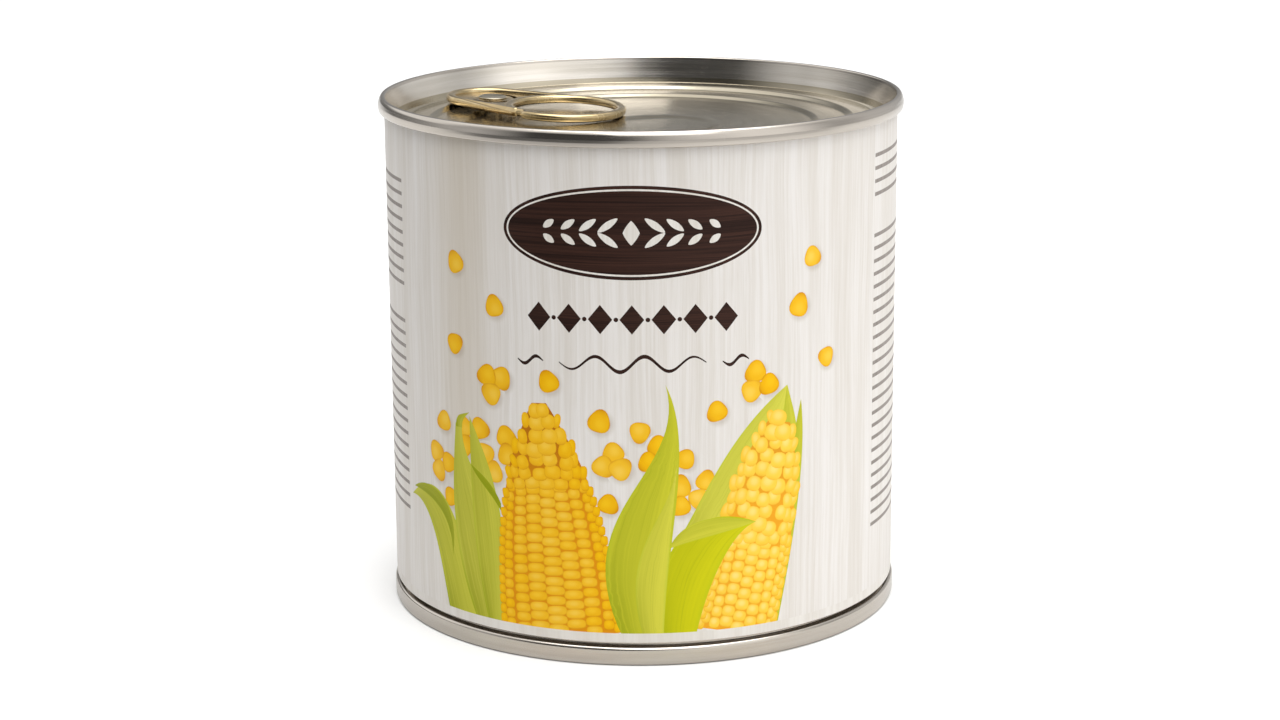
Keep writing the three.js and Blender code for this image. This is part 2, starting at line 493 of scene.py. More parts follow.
@dataclass(frozen=True)
class MetalFinish:
    """Rolled tinplate, bare or under a clear lacquer."""

    name: str
    light: Colour
    dark: Colour
    roughness: float
    run: Run
    pitch_mm: float = 0.22
    wear: float = 0.5
    coat: float = 0.0

    BAND_SHARE = 0.7  # what the bands and the lines add to the tone
    LINE_SHARE = 0.3
    LINE_ROUGHNESS = 0.22
    SMUDGE_ROUGHNESS = 0.12
    SCRATCH_ROUGHNESS = 0.2
    SCRATCH_DEPTH = 0.6  # in heights of a line
    BUMP_STRENGTH = 0.18
    BUMP_DEPTH_MM = 0.012
    COAT_ROUGHNESS = 0.12
    STRAIGHT_CHANGE = 14.0  # how fast straight lines change along their length
    ROUND_CHANGE = 1.6  # and round ones, in turns of the can

    def build(self, effects: Effects) -> Material:
        """Makes the material.

        Args:
            effects: The shared shader groups.

        Returns:
            The material.
        """
        material, board, shader = new_material(self.name)
        place = board.place()
        rolled = board.group(effects.rolling, Place=self._lay(board, place), Pitch=self.pitch_mm * MM)
        worn = board.group(effects.handling, Place=place, Amount=self.wear)
        lines, scratch = rolled.outputs["Lines"], worn.outputs["Scratch"]
        tone = board.plus(board.times(rolled.outputs["Bands"], self.BAND_SHARE),
                          board.times(lines, self.LINE_SHARE))
        colour = board.blend(board.rise(tone, 0.3, 0.7), self.dark, self.light)
        board.feed(shader.inputs["Base Color"], colour)
        shader.inputs["Metallic"].default_value = 1.0
        spread = board.times(board.less(lines, 0.5), self.LINE_ROUGHNESS)
        smudged = board.times(worn.outputs["Smudge"], self.SMUDGE_ROUGHNESS)
        scratched = board.times(scratch, self.SCRATCH_ROUGHNESS)
        rough = board.plus(board.plus(spread, smudged), scratched)
        board.feed(shader.inputs["Roughness"], board.plus(rough, self.roughness, clamp=True))
        height = board.less(lines, board.times(scratch, self.SCRATCH_DEPTH))
        normal = board.bump(height, self.BUMP_STRENGTH, self.BUMP_DEPTH_MM)
        board.feed(shader.inputs["Normal"], normal)
        if self.coat:
            shader.inputs["Coat Weight"].default_value = self.coat
            shader.inputs["Coat Roughness"].default_value = self.COAT_ROUGHNESS
        return material

    def _lay(self, board: Board, place: NodeSocket) -> NodeSocket:
        """The place as the rolling lines need it.

        Args:
            board: The material's board.
            place: The place on the object, in metres.

        Returns:
            A vector whose third part runs across the lines, in metres.
        """
        x, y, z = board.split(place)
        if self.run is Run.STRAIGHT:
            change = self.STRAIGHT_CHANGE
            return board.joined(board.times(x, change), board.times(z, change), y)
        flat = board.joined(x, y, 0.0)
        east, north, _ = board.split(board.vector("NORMALIZE", flat))
        return board.joined(
            board.times(east, self.ROUND_CHANGE), board.times(north, self.ROUND_CHANGE),
            board.plus(board.vector("LENGTH", flat), z),
        )


class Ink(IntEnum):
    """The fields of colour on the label, in the order of its material slots."""

    GROUND = 0
    BORDER = 1
    BETWEEN_KERNELS = 2
    KERNEL = 3
    LEAF = 4
    BROWN = 5
    CREAM = 6
    GREY = 7


class Shade:
    """The print's colours."""

    GROUND_DARK = srgb(222, 216, 208)
    GROUND_LIGHT = srgb(236, 232, 228)
    GROUND_PORES = srgb(190, 178, 162)
    GROUND_DUSKY = srgb(206, 194, 174)
    GROUND_SHADED = srgb(172, 156, 134)
    BORDER_DARK = srgb(222, 216, 208)
    BORDER_LIGHT = srgb(234, 230, 224)
    BETWEEN_DEEP = srgb(222, 142, 0)
    BETWEEN_TIP = srgb(176, 98, 0)
    BETWEEN_PALE = srgb(250, 178, 44)
    KERNEL_GOLD = srgb(244, 184, 0)
    KERNEL_PALE = srgb(255, 218, 84)
    KERNEL_GOLD_EDGE = srgb(206, 126, 0)
    KERNEL_PALE_EDGE = srgb(250, 184, 40)
    KERNEL_GOLD_SHINE = srgb(255, 208, 16)
    KERNEL_PALE_SHINE = srgb(255, 242, 176)
    LEAF_DARK = srgb(158, 160, 32)
    LEAF_DARK_RICH = srgb(144, 156, 0)
    LEAF_LIGHT = srgb(228, 222, 98)
    LEAF_LIGHT_RICH = srgb(214, 210, 14)
    LEAF_EDGE = srgb(170, 190, 30)
    BROWN_DARK = srgb(34, 20, 16)
    BROWN_LIGHT = srgb(66, 42, 34)
    CREAM_DARK = srgb(222, 216, 206)
    CREAM_LIGHT = srgb(238, 235, 229)
    GREY_DARK = srgb(138, 130, 124)
    GREY_LIGHT = srgb(160, 152, 146)


PLACE = "print_place"  # across, along and tone of a printed shape
FLAT = "label_flat"  # millimetres round the can and up, and how rich the ink is


@dataclass(frozen=True)
class PrintFinish:
    """Ink on coated paper. Its recipe gives the colour, and the paper gives the rest."""

    ink: Ink
    roughness: float = 0.5
    gloss: float = 0.12

    FIBRE_STRENGTH = 0.1
    FIBRE_DEPTH_MM = 0.008
    DUSKY_AT = -31.0  # middle of the ground's duskier board, round the can
    DUSKY_REACH = 10.0
    SQUARENESS = 2.6  # of the edge that darkens round a kernel

    def build(self, effects: Effects) -> Material:
        """Makes the material.

        Args:
            effects: The shared shader groups.

        Returns:
            The material.
        """
        material, board, shader = new_material(f"print_{self.ink.name.lower()}")
        recipe: Callable = getattr(self, f"_{self.ink.name.lower()}")
        board.feed(shader.inputs["Base Color"], recipe(board, effects))
        shader.inputs["Roughness"].default_value = self.roughness
        shader.inputs["Specular IOR Level"].default_value = self.gloss
        fibre = board.group(effects.fibre, Place=board.place())
        normal = board.bump(fibre.outputs["Height"], self.FIBRE_STRENGTH, self.FIBRE_DEPTH_MM)
        board.feed(shader.inputs["Normal"], normal)
        return material

    def _grained(
        self, board: Board, effects: Effects, pitch: float, dark: Colour, light: Colour
    ) -> NodeSocket:
        """An even ink with a hint of the ground's grain."""
        grain = board.group(effects.wood, Flat=board.attribute(FLAT), Pitch=pitch)
        return board.blend(grain.outputs["Streaks"], dark, light)

    def _ground(self, board: Board, effects: Effects) -> NodeSocket:
        """Pale upright wood grain, with soft shade round what lies on it.

        Args:
            board: The material's board.
            effects: The shared shader groups.

        Returns:
            The colour.
        """
        flat = board.attribute(FLAT)
        grain = board.group(effects.wood, Flat=flat, Pitch=1.0)
        colour = board.blend(grain.outputs["Streaks"], Shade.GROUND_DARK, Shade.GROUND_LIGHT)
        pores = board.times(grain.outputs["Pores"], 0.12)
        colour = board.blend(pores, colour, Shade.GROUND_PORES)
        off = board.size(board.less(board.split(flat)[0], self.DUSKY_AT))
        dusky = board.rise(off, 0.0, self.DUSKY_REACH, bottom=0.5, top=0.0)
        colour = board.blend(dusky, colour, Shade.GROUND_DUSKY)
        across, along, _ = board.split(board.attribute(PLACE))
        reach = board.vector("LENGTH", board.joined(across, along))
        shade = board.rise(reach, 0.5, 1.0, bottom=0.42, top=0.0)
        return board.blend(shade, colour, Shade.GROUND_SHADED)

    def _border(self, board: Board, effects: Effects) -> NodeSocket:
        """Bare white paper."""
        return self._grained(board, effects, 2.4, Shade.BORDER_DARK, Shade.BORDER_LIGHT)

    def _between_kernels(self, board: Board, effects: Effects) -> NodeSocket:
        """The deep orange of a cob between its kernels, paler on the paler cob.

        Args:
            board: The material's board.
            effects: Not used.

        Returns:
            The colour.
        """
        _, along, tone = board.split(board.attribute(PLACE))
        deep = board.blend(board.rise(along, 0.5, 0.9), Shade.BETWEEN_DEEP, Shade.BETWEEN_TIP)
        return board.blend(tone, deep, Shade.BETWEEN_PALE)

    def _kernel(self, board: Board, effects: Effects) -> NodeSocket:
        """A plump kernel: golden, darker to its edge, lit from above.

        Args:
            board: The material's board.
            effects: Not used.

        Returns:
            The colour.
        """
        across, along, tone = board.split(board.attribute(PLACE))
        square = board.plus(board.maths("POWER", board.size(across), self.SQUARENESS),
                            board.maths("POWER", board.size(along), self.SQUARENESS))
        body = board.blend(tone, Shade.KERNEL_GOLD, Shade.KERNEL_PALE)
        edge = board.blend(tone, Shade.KERNEL_GOLD_EDGE, Shade.KERNEL_PALE_EDGE)
        colour = board.blend(board.rise(square, 0.55, 1.5), body, edge)
        under = board.rise(along, -1.05, -0.45, bottom=0.4, top=0.0)
        colour = board.blend(under, colour, edge)
        off = board.joined(board.plus(across, 0.1), board.less(along, 0.25))
        shine = board.rise(board.vector("LENGTH", off), 0.1, 0.85, bottom=0.5, top=0.0)
        pale = board.blend(tone, Shade.KERNEL_GOLD_SHINE, Shade.KERNEL_PALE_SHINE)
        return board.blend(shine, colour, pale)

    def _leaf(self, board: Board, effects: Effects) -> NodeSocket:
        """A husk leaf: pale to rich green, with veins along it and shade at its left foot.

        Args:
            board: The material's board.
            effects: Not used.

        Returns:
            The colour.
        """
        across, along, tone = board.split(board.attribute(PLACE))
        rich = board.split(board.attribute(FLAT))[2]
        dark = board.blend(rich, Shade.LEAF_DARK, Shade.LEAF_DARK_RICH)
        light = board.blend(rich, Shade.LEAF_LIGHT, Shade.LEAF_LIGHT_RICH)
        foot = board.times(board.rise(along, 0.0, 0.35, bottom=1.0, top=0.0),
                           board.rise(across, -1.0, 0.2, bottom=1.0, top=0.0))
        fall = board.times(board.rise(across, -1.0, 0.9, bottom=1.0, top=0.0), 0.22)
        level = board.less(board.less(tone, fall), board.times(foot, 0.3), clamp=True)
        colour = board.blend(level, dark, light)
        lengthwise = board.joined(board.times(across, 5.0), board.times(along, 0.7), tone)
        veins = board.noise(lengthwise, scale=1.7, detail=3.0, roughness=0.6)
        colour = board.blend(board.rise(veins, 0.5, 0.75, bottom=0.0, top=0.4), colour, light)
        colour = board.blend(board.rise(veins, 0.28, 0.46, bottom=0.3, top=0.0), colour, dark)
        edge = board.rise(board.size(across), 0.8, 1.0, bottom=0.0, top=0.3)
        return board.blend(edge, colour, Shade.LEAF_EDGE)

    def _brown(self, board: Board, effects: Effects) -> NodeSocket:
        """Dark brown ink with the grain of stained wood, which runs level.

        Args:
            board: The material's board.
            effects: The shared shader groups.

        Returns:
            The colour.
        """
        turned = board.node("ShaderNodeVectorRotate", {
            "Vector": board.attribute(FLAT), "Angle": math.pi / 2,
        }, rotation_type="Z_AXIS")
        grain = board.group(effects.wood, Flat=turned.outputs[0], Pitch=0.5)
        return board.blend(grain.outputs["Streaks"], Shade.BROWN_DARK, Shade.BROWN_LIGHT)

    def _cream(self, board: Board, effects: Effects) -> NodeSocket:
        """The paper showing through the brown."""
        return self._grained(board, effects, 1.2, Shade.CREAM_DARK, Shade.CREAM_LIGHT)

    def _grey(self, board: Board, effects: Effects) -> NodeSocket:
        """Thin grey ink."""
        return self._grained(board, effects, 0.8, Shade.GREY_DARK, Shade.GREY_LIGHT)


# ---- turned pieces ----


class Lathe:
    """Turns profiles about the can's axis with one Geometry Nodes tree."""

    REFERENCE_MM = 40.0  # radius of the circle that carries the profile round
    MERGE_MM = 0.001
    SMOOTH_BELOW = 50.0  # degrees of bend that are shaded smooth

    def __init__(self) -> None:
        """Builds the tree."""
        self.tree = bpy.data.node_groups.new("turn_profile", "GeometryNodeTree")
        face = self.tree.interface
        self.keys: dict[str, str] = {}
        for name, kind in (
            ("Profile", "NodeSocketGeometry"), ("Facets", "NodeSocketInt"),
            ("Reference Radius", "NodeSocketFloat"), ("Merge Distance", "NodeSocketFloat"),
            ("Finish", "NodeSocketMaterial"),
        ):
            self.keys[name] = face.new_socket(name, in_out="INPUT", socket_type=kind).identifier
        face.new_socket("Turned", in_out="OUTPUT", socket_type="NodeSocketGeometry")
        board = Board(self.tree)
        given = board.node("NodeGroupInput").outputs
        line = board.node("GeometryNodeMeshToCurve", {"Mesh": given["Profile"]})
        ring = board.node("GeometryNodeCurvePrimitiveCircle", {
            "Resolution": given["Facets"], "Radius": given["Reference Radius"],
        }, mode="RADIUS")
        swept = board.node("GeometryNodeCurveToMesh", {
            "Curve": ring.outputs["Curve"], "Profile Curve": line.outputs["Curve"],
        })
        merged = board.node("GeometryNodeMergeByDistance", {
            "Geometry": swept.outputs["Mesh"], "Distance": given["Merge Distance"],
        })
        real = board.node("GeometryNodeRealizeInstances", {"Geometry": merged.outputs["Geometry"]})
        dressed = board.node("GeometryNodeSetMaterial", {
            "Geometry": real.outputs["Geometry"], "Material": given["Finish"],
        })
        board.node("NodeGroupOutput", {"Turned": dressed.outputs["Geometry"]})

    def turn(
        self, name: str, profile: Sequence[Point], facets: int, finish: Material
    ) -> Mesh:
        """Turns one profile.

        Args:
            name: The mesh's name.
            profile: Points of radius and height in millimetres, from axis to axis or closed.
            facets: Facets round the axis.
            finish: The material.

        Returns:
            The turned mesh in metres, closed, its faces outward and smooth.
        """
        line = bpy.data.meshes.new(f"{name}_profile")
        points = [((radius - self.REFERENCE_MM) * MM, -height * MM, 0) for radius, height in profile]
        edges = [(i, i + 1) for i in range(len(points) - 1)]
        line.from_pydata(points, edges, [])
        carrier = bpy.data.objects.new(f"{name}_profile", line)
        bpy.context.scene.collection.objects.link(carrier)
        turning = carrier.modifiers.new("turn", "NODES")
        turning.node_group = self.tree
        turning[self.keys["Facets"]] = facets
        turning[self.keys["Reference Radius"]] = self.REFERENCE_MM * MM
        turning[self.keys["Merge Distance"]] = self.MERGE_MM * MM
        turning[self.keys["Finish"]] = finish
        graph = bpy.context.evaluated_depsgraph_get()
        mesh = bpy.data.meshes.new_from_object(carrier.evaluated_get(graph), depsgraph=graph)
        mesh.name = name
        bpy.data.objects.remove(carrier)
        bpy.data.meshes.remove(line)
        if signed_volume(mesh) < 0:
            mesh.flip_normals()
        smooth_by_angle(mesh, self.SMOOTH_BELOW)
        return mesh


def signed_volume(mesh: Mesh) -> float:
    """The volume inside a mesh.

    Args:
        mesh: The mesh, which has to be closed.

    Returns:
        The volume in cubic metres, below zero if its faces point inwards.
    """
    mesh.calc_loop_triangles()
    corners = np.array([t.vertices[:] for t in mesh.loop_triangles])
    places = np.array([v.co[:] for v in mesh.vertices])
    first, second, third = (places[corners[:, i]] for i in range(3))
    return float(np.einsum("ij,ij->i", first, np.cross(second, third)).sum() / 6)


def smooth_by_angle(mesh: Mesh, degrees: float) -> None:
    """Smooths a mesh but for the edges that bend more than this."""
    mesh.polygons.foreach_set("use_smooth", [True] * len(mesh.polygons))
    mesh.set_sharp_from_angle(angle=math.radians(degrees))


@dataclass
class TopEnd:
    """The ring-pull end, seamed to the wall: rim, chuck wall, countersink and stepped panel."""

    height: float = 85.0
    seam_radius: float = 43.3
    seam_height: float = 2.5
    rim_width: float = 1.25
    wall_radius: float = 41.9
    underside_depth: float = 5.7
    chuck_depth: float = 3.6
    chuck_foot_radius: float = 41.2
    countersink_depth: float = 4.9
    outer_panel_depth: float = 4.2
    score_radius: float = 38.8
    score_half_width: float = 0.15
    score_depth: float = 0.1
    middle_radius: float = 34.6
    middle_depth: float = 4.8
    centre_radius: float = 28.8
    centre_depth: float = 5.3
    step_width: float = 0.9
    well_centre: Point = (3.1, -2.2)  # the finger well under the far end of the tab's ring
    well_floor_radius: float = 7.6
    well_edge_radius: float = 10.2
    well_depth: float = 0.3
    facets: int = 288
    ring_spacing: float = 0.6  # of the panel's mesh rings
    chuck_sheen_radius: float = 40.9  # outside it, the recess has the chuck wall's finish, a brighter copy of the tinplate with a bright reflection painted in

    ZONE_MARGIN = 0.02  # how far past the inner rim the seam's finish ends
    ZONE_DEPTH = 0.3  # and how deep
    FLAT_MARGIN = 0.05  # heights this near the panel's are on it

    def profile(self) -> list[Point]:
        """The end's outline from its underside round the seam to the panel's middle."""
        top = self.height
        foot = top - self.seam_height
        inner_rim = self.seam_radius - self.rim_width
        half_step = self.step_width / 2
        line = rounded([
            (0, top - self.underside_depth, 0),
            (self.wall_radius, top - self.underside_depth, 0),
            (self.wall_radius, foot + 0.12, 0.1),
            (self.seam_radius - 0.16, foot, 0.28),
            (self.seam_radius, foot + 0.75, 1.0),
            (self.seam_radius, foot + 1.25, 1.2),
            (self.seam_radius - 0.22, foot + 2.05, 1.3),
            (self.seam_radius - 0.55, top, 0.42),
            (inner_rim + 0.12, top, 0.3),
            (inner_rim, top - 0.5, 0.6),
            (self.chuck_foot_radius, top - self.chuck_depth, 0.8),
            (self.chuck_foot_radius - 0.35, top - self.countersink_depth, 0.4),
            (self.chuck_foot_radius - 1.2, top - self.countersink_depth, 0.4),
            (self.score_radius + 0.8, top - self.outer_panel_depth, 0.4),
            (self.score_radius + self.score_half_width, top - self.outer_panel_depth, 0),
            (self.score_radius, top - self.outer_panel_depth - self.score_depth, 0),
            (self.score_radius - self.score_half_width, top - self.outer_panel_depth, 0),
            (self.middle_radius + half_step, top - self.outer_panel_depth, 0.7),
            (self.middle_radius - half_step, top - self.middle_depth, 0.7),
            (self.centre_radius + half_step, top - self.middle_depth, 0.8),
            (self.centre_radius - half_step, top - self.centre_depth, 0.8),
            (self.centre_radius - 3 * half_step, top - self.centre_depth, 0),
        ])
        rings = int((self.centre_radius - 3 * half_step) / self.ring_spacing)
        edge = line[-1][0]
        line += [(edge * (1 - i / rings), top - self.centre_depth) for i in range(1, rings + 1)]
        return line

    def build(
        self, lathe: Lathe, seam: Material, panel: Material,
        drawn: Material,
    ) -> Object:
        """Turns the end, sinks its finger well and gives each zone its finish.

        Args:
            lathe: What turns the profile.
            seam: The finish of the rolled seam.
            panel: The finish of the panel, a darker copy of the tinplate with painted shade for its
                dim reflection.
            drawn: The finish of the chuck wall, a brighter copy of the tinplate with a bright
                reflection painted in.

        Returns:
            The piece.
        """
        mesh = lathe.turn("top_end_skin", self.profile(), self.facets, seam)
        mesh.materials.append(panel)
        mesh.materials.append(drawn)
        inner_rim = self.seam_radius - self.rim_width
        for face in mesh.polygons:
            radius = math.hypot(face.center.x, face.center.y) / MM
            depth = self.height - face.center.z / MM
            # Inside the inner rim the faces take the panel's darker copy of the tinplate, painted
            # shade for its dim reflection.
            if radius < inner_rim + self.ZONE_MARGIN and depth > self.ZONE_DEPTH:
                # The chuck wall takes the brighter copy of the tinplate, its bright reflection
                # painted in.
                bright = depth < self.chuck_depth + self.ZONE_DEPTH and radius > self.chuck_sheen_radius
                face.material_index = 2 if bright else 1
        floor = (self.height - self.centre_depth) * MM
        for vertex in mesh.vertices:
            if abs(vertex.co.z - floor) > self.FLAT_MARGIN * MM:
                continue
            off = math.dist((vertex.co.x / MM, vertex.co.y / MM), self.well_centre)
            fall = 1 - smooth_step(np.array(off), self.well_floor_radius, self.well_edge_radius)
            vertex.co.z -= self.well_depth * MM * float(fall)
        return finished_piece(mesh, "top_end_skin", ["top_end"])


@dataclass
class BottomEnd:
    """The plain end that the can stands on: a smaller seam and a recessed panel with a bead."""

    seam_radius: float = 42.6
    seam_height: float = 3.0
    foot_inner_radius: float = 41.3
    neck_radius: float = 41.2
    top: float = 3.9
    panel_rise: float = 3.4
    panel_radius: float = 39.4
    bead_radius: float = 30.0
    bead_drop: float = 0.6
    bead_half_width: float = 1.2
    facets: int = 288

    def profile(self) -> list[Point]:
        """The end's outline from the middle of its underside round the seam to its top."""
        return rounded([
            (0, self.panel_rise, 0),
            (self.bead_radius - self.bead_half_width, self.panel_rise, 0.9),
            (self.bead_radius, self.panel_rise - self.bead_drop, 0.9),
            (self.bead_radius + self.bead_half_width, self.panel_rise, 0.9),
            (self.panel_radius, self.panel_rise, 0.6),
            (self.foot_inner_radius - 0.35, 0.45, 0.3),
            (self.foot_inner_radius, 0, 0.25),
            (self.seam_radius, 0, 0.45),
            (self.seam_radius, self.seam_height, 0.55),
            (self.neck_radius, self.seam_height, 0.15),
            (self.neck_radius, self.top, 0),
            (0, self.top, 0),
        ])

    def build(self, lathe: Lathe, finish: Material) -> Object:
        """Turns the end and returns the piece."""
        mesh = lathe.turn("bottom_end_skin", self.profile(), self.facets, finish)
        return finished_piece(mesh, "bottom_end_skin", ["bottom_end"])


@dataclass
class Wall:
    """The tinplate wall behind the label, necked in above the bottom seam."""

    radius: float = 41.9
    neck_radius: float = 41.2
    bottom: float = 4.2
    flare: float = 0.7
    top: float = 79.0
    facets: int = 192

    def build(self, lathe: Lathe, finish: Material) -> Object:
        """Turns the wall and returns the piece."""
        mesh = lathe.turn("wall_skin", rounded([
            (0, self.bottom, 0), (self.neck_radius, self.bottom, 0),
            (self.radius, self.bottom + self.flare, 0.5), (self.radius, self.top, 0),
            (0, self.top, 0),
        ]), self.facets, finish)
        return finished_piece(mesh, "wall_skin", ["can_wall"])


# ---- pull tab ----


@dataclass
class Plate:
    """A flat plate with holes whose top and underside are rounded towards its edges."""

    outline: Array
    holes: list[Array]
    guides: list[Array]  # lines that the mesh follows, besides its edges
    top: Callable[[Array, Array], Array]
    bottom: Callable[[Array, Array], Array]

    def build(self) -> tuple[Array, list[tuple[int, ...]]]:
        """Meshes the plate.

        Returns:
            Its points in millimetres and its faces, closed and outward.
        """
        loops = [self.outline, *self.holes]
        points: list[Vector] = []
        edges: list[tuple[int, int]] = []
        faces: list[list[int]] = []
        for number, line in enumerate([*loops, *self.guides]):
            start = len(points)
            points += [Vector(p) for p in line]
            ids = list(range(start, len(points)))
            edges += list(zip(ids, ids[1:] + ids[:1]))
            if number < len(loops):
                faces.append(ids)
        flat, _, triangles, _, _, owners = delaunay_2d_cdt(
            points, edges, faces, 0, CUT_MARGIN, True
        )
        kept = [t for t, owner in zip(triangles, owners) if set(owner) == {0}]
        used = sorted({i for t in kept for i in t})
        number = {old: new for new, old in enumerate(used)}
        place = np.array([flat[i][:] for i in used])
        inset = edge_distance(place, loops)
        high = np.column_stack([place, self.top(place, inset)])
        low = np.column_stack([place, self.bottom(place, inset)])
        upper = [tuple(number[i] for i in t) for t in kept]
        shift = len(place)
        lower = [tuple(i + shift for i in reversed(t)) for t in upper]
        sides = {(t[i], t[(i + 1) % 3]) for t in upper for i in range(3)}
        walls = [(a + shift, b + shift, b, a) for a, b in sides if (b, a) not in sides]
        return np.vstack([high, low]), upper + lower + sorted(walls)


def edge_distance(places: Array, loops: Sequence[Array]) -> Array:
    """How far each place is from the nearest of some closed lines.

    Args:
        places: The places.
        loops: The points of each closed line.

    Returns:
        The distance of each place.
    """
    nearest = np.full(len(places), np.inf)
    for loop in loops:
        for start, end in zip(loop, np.roll(loop, -1, axis=0)):
            along = end - start
            length = max(float(along @ along), 1e-12)
            share = np.clip((places - start) @ along / length, 0, 1)
            gap = np.linalg.norm(places - start - share[:, None] * along, axis=1)
            nearest = np.minimum(nearest, gap)
    return nearest


@dataclass
class PullTab:
    """The ring pull: a rolled edge, a finger hole, a flat web, a notch each side and the rivet."""

    bearing: float = math.radians(147.8)
    nose_radius: float = 38.0
    rim_height: float = 85.0
    nose_depth: float = 2.5
    ring_depth: float = 3.85
    thickness: float = 1.4
    nose_arc: float = 7.5
    ring_arc: float = 10.3
    hole_radius: float = 8.65
    ring_centre: float = 22.93
    curl_width: float = 1.65
    roll: float = 0.62  # how far in from an edge its rounding reaches
    web_thickness: float = 0.45
    web_rise: float = 0.3
    web_lap: float = 0.6
    notch_centre: float = 19.6
    notch_length: float = 2.0
    notch_depth: float = 1.0
    rivet_centre: float = 8.0
    rivet_radius: float = 2.5
    rivet_height: float = 0.3
    slot_radius: float = 3.9  # middle of the slot that frees the rivet's island
    slot_width: float = 0.9
    slot_half_angle: float = math.radians(115)
    island_radius: float = 2.5  # where the web stands proud round the rivet
    island_edge: float = 3.1  # and where it has fallen to its own height
    island_rise: float = 0.1
    shank_radius: float = 1.6
    shank_foot: float = -1.2
    steps: int = 40

    EDGE_SHARE = 0.12  # of half the thickness, left at an edge
    ROLL_ANGLES = (25, 40, 55, 70, 90)  # round the rolled edge, where the mesh has lines
    WEB_GUIDES = (0.3, 0.8)  # and in from the web's edge
    NOTCH_EASE = 0.12  # how far a notch's mouth opens
    SMOOTH_BELOW = 42.0  # degrees of bend that are shaded smooth

    @property
    def side_angle(self) -> float:
        """Half the angle by which the straight sides open towards the ring."""
        return math.asin((self.ring_arc - self.nose_arc) / (self.ring_centre - self.nose_arc))

    def place(self) -> Matrix:
        """From the tab's own millimetres to the can's metres."""
        nose = Vector((
            self.nose_radius * math.cos(self.bearing),
            self.nose_radius * math.sin(self.bearing),
            self.rim_height - self.nose_depth - self.thickness,
        )) * MM
        fall = (self.ring_depth - self.nose_depth) / (self.ring_centre + self.ring_arc)
        turn = Matrix.Rotation(self.bearing + math.pi, 4, "Z")
        tilt = Matrix.Rotation(math.asin(fall), 4, "Y")
        return Matrix.Translation(nose) @ turn @ tilt @ Matrix.Scale(MM, 4)

    def _arc(self, centre: float, radius: float, start: float, end: float) -> Array:
        """Points of an arc about a point on the tab's middle line."""
        angle = np.linspace(start, end, self.steps)
        return np.stack([centre + radius * np.cos(angle), radius * np.sin(angle)], axis=1)

    def hull(self, inset: float, notched: bool = False) -> Array:
        """The tab's outer outline, drawn in by an inset.

        Args:
            inset: How far it is drawn in.
            notched: Whether it has the notch in each side.

        Returns:
            Its points, counter-clockwise.
        """
        side = math.pi / 2 + self.side_angle
        nose = self._arc(self.nose_arc, self.nose_arc - inset, side, 2 * math.pi - side)
        ring = self._arc(self.ring_centre, self.ring_arc - inset, -side, side)
        if not notched:
            return np.vstack([nose, ring])
        near, far = self._notch(-1), self._notch(1)
        return np.vstack([nose, near, ring, far[::-1]])

    def _notch(self, side: int) -> Array:
        """The corners of the notch in one side, from the nose's end to the ring's.

        Args:
            side: -1 or 1.

        Returns:
            Its corners.
        """
        half_width = self.nose_arc / math.cos(self.side_angle)
        half_width += (self.notch_centre - self.nose_arc) * math.tan(self.side_angle)
        along = Vector((math.cos(self.side_angle), side * math.sin(self.side_angle)))
        inward = Vector((math.sin(self.side_angle), -side * math.cos(self.side_angle)))
        middle = Vector((self.notch_centre, side * half_width))
        half, deep, ease = self.notch_length / 2, self.notch_depth, self.NOTCH_EASE
        corners = [(-half - ease, 0), (-half, ease), (-half * 0.8, deep * 0.85), (-half * 0.4, deep),
                   (half * 0.4, deep), (half * 0.8, deep * 0.85), (half, ease), (half + ease, 0)]
        return np.array([middle + along * a + inward * b for a, b in corners])

    def window(self, band: float) -> Array:
        """The outline inside the nose, a band in from the edge and a band off the finger hole.

        Args:
            band: The band's width.

        Returns:
            Its points, counter-clockwise.
        """
        side = math.pi / 2 + self.side_angle
        clear = self.hole_radius + band
        meeting = side + math.acos(min(1.0, (self.ring_arc - band) / clear))
        nose = self._arc(self.nose_arc, self.nose_arc - band, side, 2 * math.pi - side)
        ring = self._arc(self.ring_centre, clear, 2 * math.pi - meeting, meeting)
        return np.vstack([nose, ring])

    def _slot(self) -> Array:
        """The C-shaped slot round the rivet, open towards the nose."""
        inner, outer = (self.slot_radius + s * self.slot_width / 2 for s in (-1, 1))
        reach = self.slot_half_angle
        return np.vstack([
            self._arc(self.rivet_centre, outer, -reach, reach),
            self._arc(self.rivet_centre, inner, reach, -reach),
        ])

    def _curl(self) -> Plate:
        """The rolled edge all round the tab and round its finger hole."""
        insets = [self.roll * (1 - math.cos(math.radians(a))) for a in self.ROLL_ANGLES]
        hole = self.ring_centre, 0.0
        guides = [self.hull(i) for i in insets]
        guides += [circle(hole, self.hole_radius + i, 2 * self.steps) for i in insets]
        guides += [self.window(self.curl_width - i) for i in insets]
        middle = self.thickness / 2

        def swell(inset: Array) -> Array:
            """Half the thickness, less towards an edge."""
            round_off = np.sqrt(np.clip(1 - (1 - np.clip(inset / self.roll, 0, 1))**2, 0, 1))
            return middle * (self.EDGE_SHARE + (1 - self.EDGE_SHARE) * round_off)

        return Plate(
            self.hull(0, notched=True),
            [circle(hole, self.hole_radius, 2 * self.steps), self.window(self.curl_width)],
            guides,
            lambda place, inset: middle + swell(inset),
            lambda place, inset: middle - swell(inset),
        )

    def _web(self) -> Plate:
        """The flat sheet inside the nose, a little proud round the rivet."""
        rivet = self.rivet_centre, 0.0
        guides = [circle(rivet, r, 48) for r in (self.island_radius, self.island_edge)]
        guides += [self.window(self.curl_width + i) for i in self.WEB_GUIDES]

